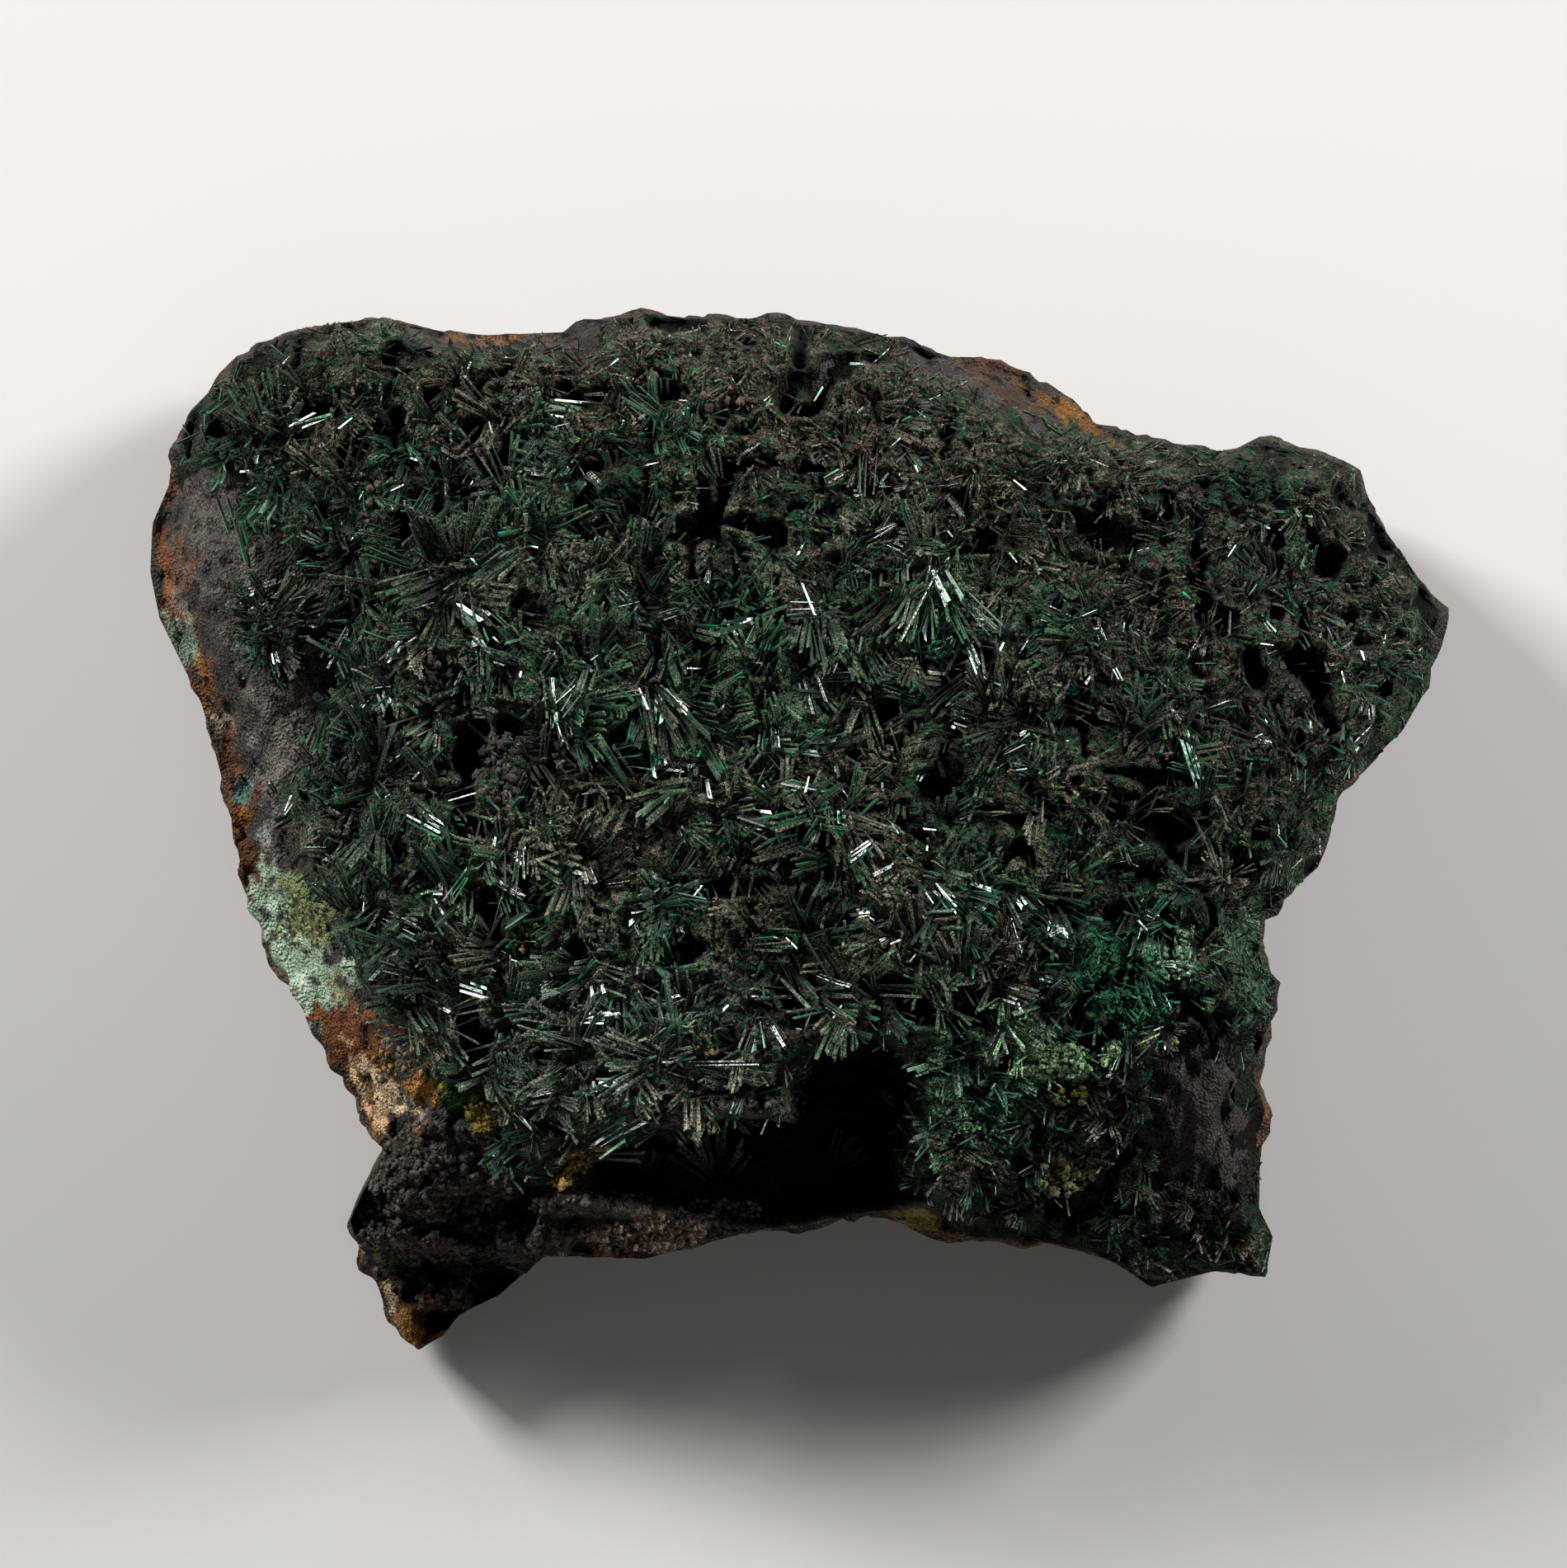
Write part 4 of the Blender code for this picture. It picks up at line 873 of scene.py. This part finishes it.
def radiating(sprays):
    """Blades of the sprays as a dict of arrays. A bundle's blades lie side by side with parallel faces."""
    sprays = np.asarray(sprays, float)
    which = np.repeat(np.arange(len(sprays)), (sprays[:, 5] * BLADES_A_UNIT).astype(int))
    x, y, reach, first, last, _, lowest, highest, width, clean = sprays[which].T
    number = len(which)
    bundle = np.cumsum(np.arange(number) % BUNDLE_BLADES == 0) - 1
    bundles = bundle[-1] + 1

    def shared(draws):
        return draws[bundle]

    outward = np.radians(first + (last - first) * shared(random.uniform(size=bundles)))
    compass = outward + shared(random.normal(0, BUNDLE_TURN, bundles)) + random.normal(0, BLADE_TURN, number)
    rise = np.radians(lowest + (highest - lowest) * shared(random.uniform(size=bundles)) ** 1.3)
    is_clean = (shared(random.uniform(size=bundles)) < 0.8 * clean) & (random.uniform(size=number) < 0.6)
    light = GLINT_WAYS[shared(random.integers(0, len(GLINT_WAYS), bundles))]
    to_glint = glint_rise(compass, light)
    is_clean &= to_glint > 0.03
    rise = np.where(is_clean, to_glint, rise + random.normal(0, BLADE_RISE, number))
    way = directions(compass, rise)
    facing = shared(random.normal(size=(bundles, 3)) + FACING_UP)
    facing = facing + random.normal(0, 0.2, (number, 3))
    facing = np.where(is_clean[:, None], light + random.normal(0, 0.10, (number, 3)), facing)
    start = reach * (shared(random.uniform(*BUNDLE_START, bundles)) + random.uniform(*BLADE_START, number))
    lift = random.uniform(*SPRAY_LIFT, len(sprays))[which] + shared(random.uniform(*BUNDLE_LIFT, bundles))
    aside = random.normal(0, BLADE_ASIDE, number) * width
    lift = lift + LIFT_OUTWARDS * start / np.maximum(reach, 1.0)
    root_x = x + start * np.cos(outward) - np.sin(compass) * aside
    root_y = y + start * np.sin(outward) + np.cos(compass) * aside
    length = shared(random.uniform(*BUNDLE_LENGTH, bundles)) + random.uniform(*BLADE_LENGTH, number)
    length = np.maximum(reach * length - start, SHORTEST_SHARE * reach)
    return {
        "root": np.stack([root_x, root_y, ground_height(x, y) + lift], axis=-1), "way": way, "facing": facing,
        "length": np.where(is_clean, 0.5, 1.0) * length, "width": width * random.uniform(0.7, 1.2, number),
        "clean": is_clean,
    }


def laid(rows, height, clean):
    """Bundles of blades lying where the rows say, a height over the ground, as arrays like radiating()'s."""
    rows = np.asarray(rows, float)
    many = rows[:, 5].astype(int)
    which = np.repeat(np.arange(len(rows)), many)
    number = len(which)
    x, y, compass, length, width, _ = rows[which].T
    width = 0.8 * width
    compass = np.radians(compass + random.normal(0, 5.0, number))
    both = np.array([glint_rise(compass, np.broadcast_to(light, (number, 3))) for light in GLINT_WAYS])
    nearest = np.abs(both).argmin(axis=0)
    rise, light = both[nearest, np.arange(number)], GLINT_WAYS[nearest]
    across = np.arange(number) - np.repeat(np.cumsum(many) - many / 2, many)
    across = across * width * random.uniform(1.2, 1.9, number)
    middle_z = ground_height(x, y) + height + random.uniform(-0.25, 0.15, number)
    middle = np.stack([x - np.sin(compass) * across, y + np.cos(compass) * across, middle_z], axis=-1)
    length = length * random.uniform(0.45, 1.1, number)
    way = directions(compass, rise)
    shift = (random.uniform(-0.3, 0.3, number) - 0.5) * length
    return {
        "root": middle + way * shift[:, None], "way": way, "length": length,
        "facing": light + random.normal(0, 0.09, (number, 3)),
        "width": width * random.uniform(0.8, 1.1, number), "clean": np.full(number, clean),
    }


def felt():
    """Short fine blades between the sprays, in parallel drifts, as arrays like radiating()'s."""
    x, y = hex_scatter(FELT_SPACING)
    kept = (carpet_depth(x, y) > -0.2) & (inside_by(x, y, OUTLINE) > 0.5)
    kept &= random.uniform(size=x.shape) > np.maximum(0.85 * pit_share(x, y), gap_share(x, y))
    kept &= random.uniform(size=x.shape) > 0.3 * coarse_share(x, y)
    x, y = np.repeat(x[kept], FELT_TUFT), np.repeat(y[kept], FELT_TUFT)
    number = len(x)
    compass = 2.4 * np.pi * lattice_noise(x, y, 3.2, 80) + random.normal(0, 0.3, number)
    compass += np.pi * random.integers(0, 2, number)
    x, y = x + random.normal(0, 0.35, number), y + random.normal(0, 0.35, number)
    return {
        "root": np.stack([x, y, ground_height(x, y) + random.uniform(-0.3, 0.45, number)], axis=-1),
        "way": directions(compass, np.radians(random.uniform(5, 45, number))),
        "facing": random.normal(size=(number, 3)) + FACING_UP,
        "length": random.uniform(*FELT_LENGTH, number), "width": random.uniform(*FELT_WIDTH, number),
        "clean": np.zeros(number, bool),
    }


def sparks():
    """Short clean blades strewn over the carpet, each laid to glint, as arrays like radiating()'s."""
    x, y = hex_scatter(SPARK_SPACING)
    kept = (carpet_depth(x, y) > 0.2) & (inside_by(x, y, OUTLINE) > 0.6)
    kept &= random.uniform(size=x.shape) < SPARK_SHARE * smooth_step(-0.5, 0.5, lattice_noise(x, y, 3.0, 84))
    x, y = x[kept], y[kept]
    number = len(x)
    light = GLINT_WAYS[random.integers(0, len(GLINT_WAYS), number)]
    compass = random.uniform(0, 2 * np.pi, number)
    return {
        "root": np.stack([x, y, ground_height(x, y) + random.uniform(0.6, 1.6, number)], axis=-1),
        "way": directions(compass, glint_rise(compass, light)),
        "facing": light + random.normal(0, 0.24, (number, 3)),
        "length": random.uniform(*SPARK_LENGTH, number), "width": random.uniform(*SPARK_WIDTH, number),
        "clean": np.ones(number, bool),
    }


def trimmed(blades):
    """The blades, shortened so that no tip leaves the outline, hangs far over the border or is too high."""
    root, way = blades["root"], blades["way"]
    tip = root + way * blades["length"][:, None]
    beyond = np.maximum(0.0, TIP_MARGIN - inside_by(tip[:, 0], tip[:, 1], OUTLINE))
    beyond = np.maximum(beyond, -OVERHANG - carpet_depth(tip[:, 0], tip[:, 1]))
    flat = np.maximum(0.25, np.hypot(way[:, 0], way[:, 1]))
    too_high = np.maximum(0.0, tip[:, 2] - HIGHEST_TIP) / np.maximum(0.1, way[:, 2])
    length = blades["length"] - 1.25 * beyond / flat - too_high
    over_gap = np.maximum(1.5 * pit_share(tip[:, 0], tip[:, 1]), 0.8 * gap_share(tip[:, 0], tip[:, 1]))
    kept = (length > SHORTEST_BLADE) & (random.uniform(size=len(length)) > over_gap)
    kept &= inside_by(root[:, 0], root[:, 1], OUTLINE) > ROOT_MARGIN
    return {label: array[kept] for label, array in {**blades, "length": length}.items()}


def blade_points(blades):
    """Eight corners a blade: root + way * along +- side * width / 2 +- third * FLAT_SHARE * width / 2."""
    way, facing = blades["way"], blades["facing"]
    third = unit(facing - way * np.sum(facing * way, axis=1, keepdims=True))
    side = np.cross(third, way)
    half = blades["width"][:, None] / 2
    skew = random.uniform(-SKEW, SKEW, (len(way), 1)) * half
    corners = []
    for along, widening in ((0.0, ROOT_WIDTH), (1.0, 1.0)):
        for across, over in ((-1, -1), (1, -1), (1, 1), (-1, 1)):
            reach = along * (blades["length"][:, None] + skew * across)
            spread = widening * half * (side * across + third * over * FLAT_SHARE)
            corners.append(blades["root"] + way * reach + spread)
    return np.stack(corners, axis=1).reshape(-1, 3)


def blade_piece(name, blades):
    """One mesh of blades, with their dust and its colour, their tone, and places along and across a blade."""
    number = len(blades["way"])
    x, y = blades["root"][:, 0], blades["root"][:, 1]
    dust = 0.66 + 0.30 * lattice_noise(x, y, 4.0, 81) + random.normal(0, 0.16, number)
    dust = dust - 0.1 * coarse_share(x, y)
    dust = np.where(blades["clean"], random.uniform(-0.1, 0.42, number), np.clip(dust, 0.15, 1.1))
    tone = np.clip(0.45 + 0.35 * lattice_noise(x, y, 4.5, 82) + random.normal(0, 0.25, number), 0, 1)
    tone = np.where(blades["clean"], random.uniform(0.3, 2.2, number), tone)
    coat = coat_colour(x, y) * random.uniform(0.7, 1.7, (number, 1))
    faces = (np.arange(number)[:, None, None] * 8 + BLADE_SIDES).reshape(-1, 4)
    return mesh_piece(
        name, blade_points(blades), [faces], False,
        values={
            "dust": np.repeat(dust, 8), "tone": np.repeat(tone, 8),
            "along": np.tile([0.0] * 4 + [1.0] * 4, number),
            "across": np.tile([-1.0, 1.0, 1.0, -1.0] * 2, number),
        },
        colours={"coat": np.repeat(coat, 8, axis=0)},
    )


DARK_BLADE, BRIGHT_BLADE = (0.005, 0.048, 0.022, 1.0), (0.018, 0.270, 0.110, 1.0)
blade_finish, shader, place = new_material("dusty_atacamite")
dust, tone, along, across = (number_attribute(place, label) for label in ("dust", "tone", "along", "across"))
dust_grains = noise(place, 0.14)
cover = (dust + dust_grains * 1.6 - across * across * 0.35 - 0.75).step(0.1, 0.45)
coated = (dust_grains.step(0.36, 0.66) * 1.35 + 0.12).scaled(attribute(place, "coat"))
bladed = cover.mixed(tone.mixed(DARK_BLADE, BRIGHT_BLADE), coated)
# Painted shade: a blade's colour darkens towards its root, deep in the spray
set_shader(
    shader, Base_Color=(along * 0.86 + 0.20).scaled(bladed), Coat_Weight=1.0 - cover,
    Normal=bump(dust_grains * cover, 0.14), Roughness=0.9, Specular_IOR_Level=0.15, Coat_Roughness=0.32,
    Coat_IOR=1.86,
)

for label, group in (
    ("spray_blades", trimmed(radiating(coarse_sprays))), ("fine_blades", trimmed(radiating(fine_sprays))),
    ("felt_blades", trimmed(felt())), ("clean_blades", laid(GLINTS, GLINT_LIFT, True)),
    ("rock_blades", laid(ROCK_BLADES, ROCK_BLADE_LIFT, False)), ("spark_blades", trimmed(sparks())),
):
    order = np.argsort(group["root"][:, 0])
    parts = int(np.ceil(len(order) / BLADES_A_PIECE))
    for number, chosen in enumerate(np.array_split(order, parts), 1):
        piece = blade_piece(f"{label}_{number}", {key: array[chosen] for key, array in group.items()})
        show_as(piece, blade_finish, "carpet_crystals", "crystal_carpet")

# The loose grains
#
# Rounded grains of ochre, pale green and dark brown minerals sit on the crust, the lip of the hollow, the
# ledge and the foot, in small heaps. Each is a lumpy ball half sunk in what carries it.

# x, y, half length and half width of the heap, number, size of a grain, colour
GRAIN_HEAPS = (
    (-14.6, -20.7, 0.8, 0.7, 64, 0.36, (0.800, 0.540, 0.140)),
    (-13.6, -19.8, 1.0, 0.7, 76, 0.36, (0.800, 0.520, 0.130)),
    (-12.4, -19.3, 0.9, 0.5, 36, 0.44, (0.640, 0.430, 0.130)),
    (-15.9, -22.6, 0.5, 0.6, 18, 0.34, (0.420, 0.480, 0.340)),
    (-22.0, -21.0, 4.6, 3.6, 420, 0.38, (0.090, 0.070, 0.050)),
    (-22.5, -26.0, 3.4, 3.4, 300, 0.36, (0.050, 0.036, 0.024)),
    (-26.0, -23.6, 1.6, 2.4, 130, 0.36, (0.090, 0.078, 0.060)),
    (-16.5, -25.0, 3.2, 1.8, 200, 0.34, (0.046, 0.040, 0.030)),
    (-24.8, -26.2, 1.6, 1.2, 90, 0.34, (0.130, 0.170, 0.120)),
    (-22.0, -28.4, 1.6, 2.6, 120, 0.34, (0.060, 0.022, 0.008)),
    # The ledge's grains below are made pale: partly their own colour, partly painted light on the ledge,
    # which lies in shade
    (-9.0, -24.4, 3.2, 1.0, 220, 0.32, (0.560, 0.400, 0.300)),
    (-5.0, -23.2, 2.6, 0.8, 110, 0.32, (0.340, 0.340, 0.270)),
    (-23.6, -13.6, 2.4, 1.4, 60, 0.34, (0.330, 0.210, 0.070)),
    (-18.6, -16.8, 1.6, 1.0, 40, 0.36, (0.330, 0.260, 0.040)),
    (-22.3, 9.4, 1.6, 1.2, 40, 0.50, (0.060, 0.052, 0.044)),
    (-18.0, 3.6, 1.4, 2.6, 70, 0.55, (0.058, 0.050, 0.042)),
    (-16.4, -6.0, 1.0, 1.0, 14, 0.32, (0.420, 0.300, 0.120)),
    (-9.6, 2.6, 1.6, 0.9, 26, 0.30, (0.240, 0.180, 0.070)),
    (-4.6, -12.6, 1.6, 1.0, 18, 0.30, (0.300, 0.160, 0.060)),
    (16.0, -15.6, 1.2, 0.8, 12, 0.42, (0.420, 0.300, 0.060)),
    (15.4, -13.6, 2.8, 1.0, 170, 0.34, (0.400, 0.640, 0.330)),
    (22.4, -7.6, 1.2, 1.1, 70, 0.32, (0.320, 0.520, 0.330)),
    (11.6, -17.4, 2.4, 1.8, 90, 0.32, (0.130, 0.320, 0.180)),
    (16.0, -20.8, 1.8, 1.1, 60, 0.36, (0.300, 0.270, 0.130)),
    (20.0, -9.4, 2.6, 2.4, 90, 0.26, (0.020, 0.160, 0.070)),
    (-7.0, -24.6, 7.0, 1.2, 160, 0.45, (0.095, 0.062, 0.044)),
    (-30.2, -5.4, 1.8, 1.8, 80, 0.34, (0.260, 0.290, 0.120)),
    (-9.0, 26.8, 1.0, 0.8, 10, 0.50, (0.110, 0.085, 0.090)),
    (-4.6, 26.0, 1.2, 0.8, 12, 0.44, (0.160, 0.085, 0.060)),
    (-25.4, 18.6, 1.0, 2.4, 30, 0.40, (0.100, 0.078, 0.052)),
    (-0.9, -16.3, 1.3, 1.0, 70, 0.40, (0.070, 0.080, 0.052)),
    (-12.6, -22.4, 3.6, 0.8, 130, 0.36, (0.110, 0.096, 0.078)),
)
BALL_STEPS, BALL_RINGS = 8, 5
# How grains differ, in shares of their size, of a point's distance from the middle and of their colour
GRAIN_SIZES, GRAIN_LUMPS, GRAIN_TONES = (0.4, 1.5), (0.45, 1.4), (0.3, 1.7)
GRAIN_MARGIN, GRAIN_LIFT = 0.2, 0.9


def unit_ball():
    """Points (sin p cos a, sin p sin a, cos p) of a ball for polar angles p and turns a, with its faces."""
    polar = np.pi * np.arange(1, BALL_RINGS)[:, None] / BALL_RINGS
    turn = 2 * np.pi * np.arange(BALL_STEPS) / BALL_STEPS
    level = np.sin(polar)
    rings = np.stack([level * np.cos(turn), level * np.sin(turn), np.cos(polar) + 0 * turn], axis=-1)
    points = np.concatenate([rings.reshape(-1, 3), [[0, 0, 1], [0, 0, -1]]])
    return points, ring_quads(len(rings), BALL_STEPS), end_fans(len(rings), BALL_STEPS)


heaps = np.array([row[:6] for row in GRAIN_HEAPS])
which = np.repeat(np.arange(len(heaps)), heaps[:, 4].astype(int))
away, turn = np.sqrt(random.uniform(size=len(which))), random.uniform(0, 2 * np.pi, len(which))
grain_x = heaps[which, 0] + heaps[which, 2] * away * np.cos(turn)
grain_y = heaps[which, 1] + heaps[which, 3] * away * np.sin(turn)
inside = inside_by(grain_x, grain_y, OUTLINE) > GRAIN_MARGIN
which, grain_x, grain_y = which[inside], grain_x[inside], grain_y[inside]
on_crust = carpet_share(grain_x, grain_y)
grain_z = ground_height(grain_x, grain_y) + GRAIN_LIFT * on_crust
grain_z += (1 - on_crust) * fine_relief(grain_x, grain_y)
radius = heaps[which, 5] / 2 * random.uniform(*GRAIN_SIZES, len(which))
ball, ball_quads, ball_fans = unit_ball()
lumpy = radius[:, None, None] * random.uniform(*GRAIN_LUMPS, (len(which), len(ball), 1)) * ball
grain_points = lumpy + np.stack([grain_x, grain_y, grain_z], axis=-1)[:, None]
first_point = np.arange(len(which))[:, None, None] * len(ball)
tints = np.array([row[6] for row in GRAIN_HEAPS])[which] * random.uniform(*GRAIN_TONES, (len(which), 1))
loose_grains = mesh_piece(
    "loose_grains", grain_points.reshape(-1, 3),
    [(first_point + ball_quads).reshape(-1, 4), (first_point + ball_fans).reshape(-1, 3)], True,
    colours={"tint": np.repeat(tints, len(ball), axis=0)},
)

grain_finish, shader, place = new_material("mineral_grains")
fine = noise(place, 0.12)
speckled = (fine.step(0.35, 0.65) * 0.8 + 0.35).scaled(attribute(place, "tint"))
set_shader(shader, Base_Color=speckled, Normal=bump(fine, 0.12), Roughness=0.75)
show_as(loose_grains, grain_finish, "carpet_crystals", "crystal_carpet")

# The crystals in the hollow and the lone spray
#
# A few dusty blades grow in the shade at the back of the hollow, and one tuft of them stands by itself on the
# bare rock at the left. Both are the carpet's atacamite, grown where they stand.

# Rows like those of MAIN_SPRAYS
HOLLOW_SPRAYS = (
    (-5.0, -21.2, 3.2, 20, 160, 26, 10, 50, 0.26, 0.3), (2.0, -21.0, 3.0, 30, 150, 24, 10, 50, 0.26, 0.2),
    (-9.0, -21.2, 2.6, 20, 160, 22, 10, 50, 0.26, 0.2),
)

hollow_blades = blade_piece("hollow_blades", radiating(HOLLOW_SPRAYS))
show_as(hollow_blades, blade_finish, "hollow_crystals", "hollow_crystals")
lone_blades = blade_piece("lone_blades", radiating(LONE_SPRAYS))
show_as(lone_blades, blade_finish, "lone_spray_crystals", "lone_spray")

# The floor, the light and the camera
#
# The specimen lies on its sawn back on a pale floor. Two soft lights rake across it from the upper left and
# the upper right. The camera looks straight down on it through a long lens.

# The floor and the lights are in metres, the camera in millimetres
FLOOR_SIZE, FLOOR_TINT = 3.0, (0.78, 0.77, 0.75, 1.0)
ROOM_TINT, ROOM_LIGHT = (0.9, 0.95, 1.0, 1.0), 0.05
# Direction, power in watts, size
LIGHTS = {
    "upper_left": (LEFT_LIGHT, 4.2, 0.16), "upper_right": (RIGHT_LIGHT, 3.4, 0.16),
    "overhead": ((0.1, -0.5, 0.9), 0.2, 0.5),
}
LIT_POINT, LIGHT_DISTANCE = Vector((-0.001, 0.003, 0.012)), 0.6
CAMERA_X, CAMERA_Y, FOCUS_HEIGHT = -1.0, 3.0, 13.5
FRAME_WIDTH, LENS, SENSOR = 95.0, 180.0, 36.0

bpy.ops.mesh.primitive_plane_add(size=FLOOR_SIZE)
floor = bpy.context.active_object
floor.name = "floor"
floor_finish, shader, place = new_material("pale_floor")
shader.inputs["Base Color"].default_value = FLOOR_TINT
shader.inputs["Roughness"].default_value = 0.9
floor.data.materials.append(floor_finish)

scene = bpy.context.scene
world = bpy.data.worlds.new("room")
world.use_nodes = True
world.node_tree.nodes["Background"].inputs["Color"].default_value = ROOM_TINT
world.node_tree.nodes["Background"].inputs["Strength"].default_value = ROOM_LIGHT
scene.world = world

for label, (direction, power, size) in LIGHTS.items():
    lamp = bpy.data.lights.new(label, "AREA")
    lamp.energy, lamp.size = power, size
    light = bpy.data.objects.new(label, lamp)
    toward = Vector(direction).normalized()
    light.location = LIT_POINT + toward * LIGHT_DISTANCE
    light.rotation_euler = toward.to_track_quat("Z", "Y").to_euler()
    scene.collection.objects.link(light)

lens = bpy.data.cameras.new("camera")
lens.lens, lens.sensor_width = LENS, SENSOR
camera = bpy.data.objects.new("camera", lens)
camera.location = Vector((CAMERA_X, CAMERA_Y, FOCUS_HEIGHT + FRAME_WIDTH * LENS / SENSOR)) * MM
scene.collection.objects.link(camera)
scene.camera = camera
scene.view_settings.view_transform = "Standard"
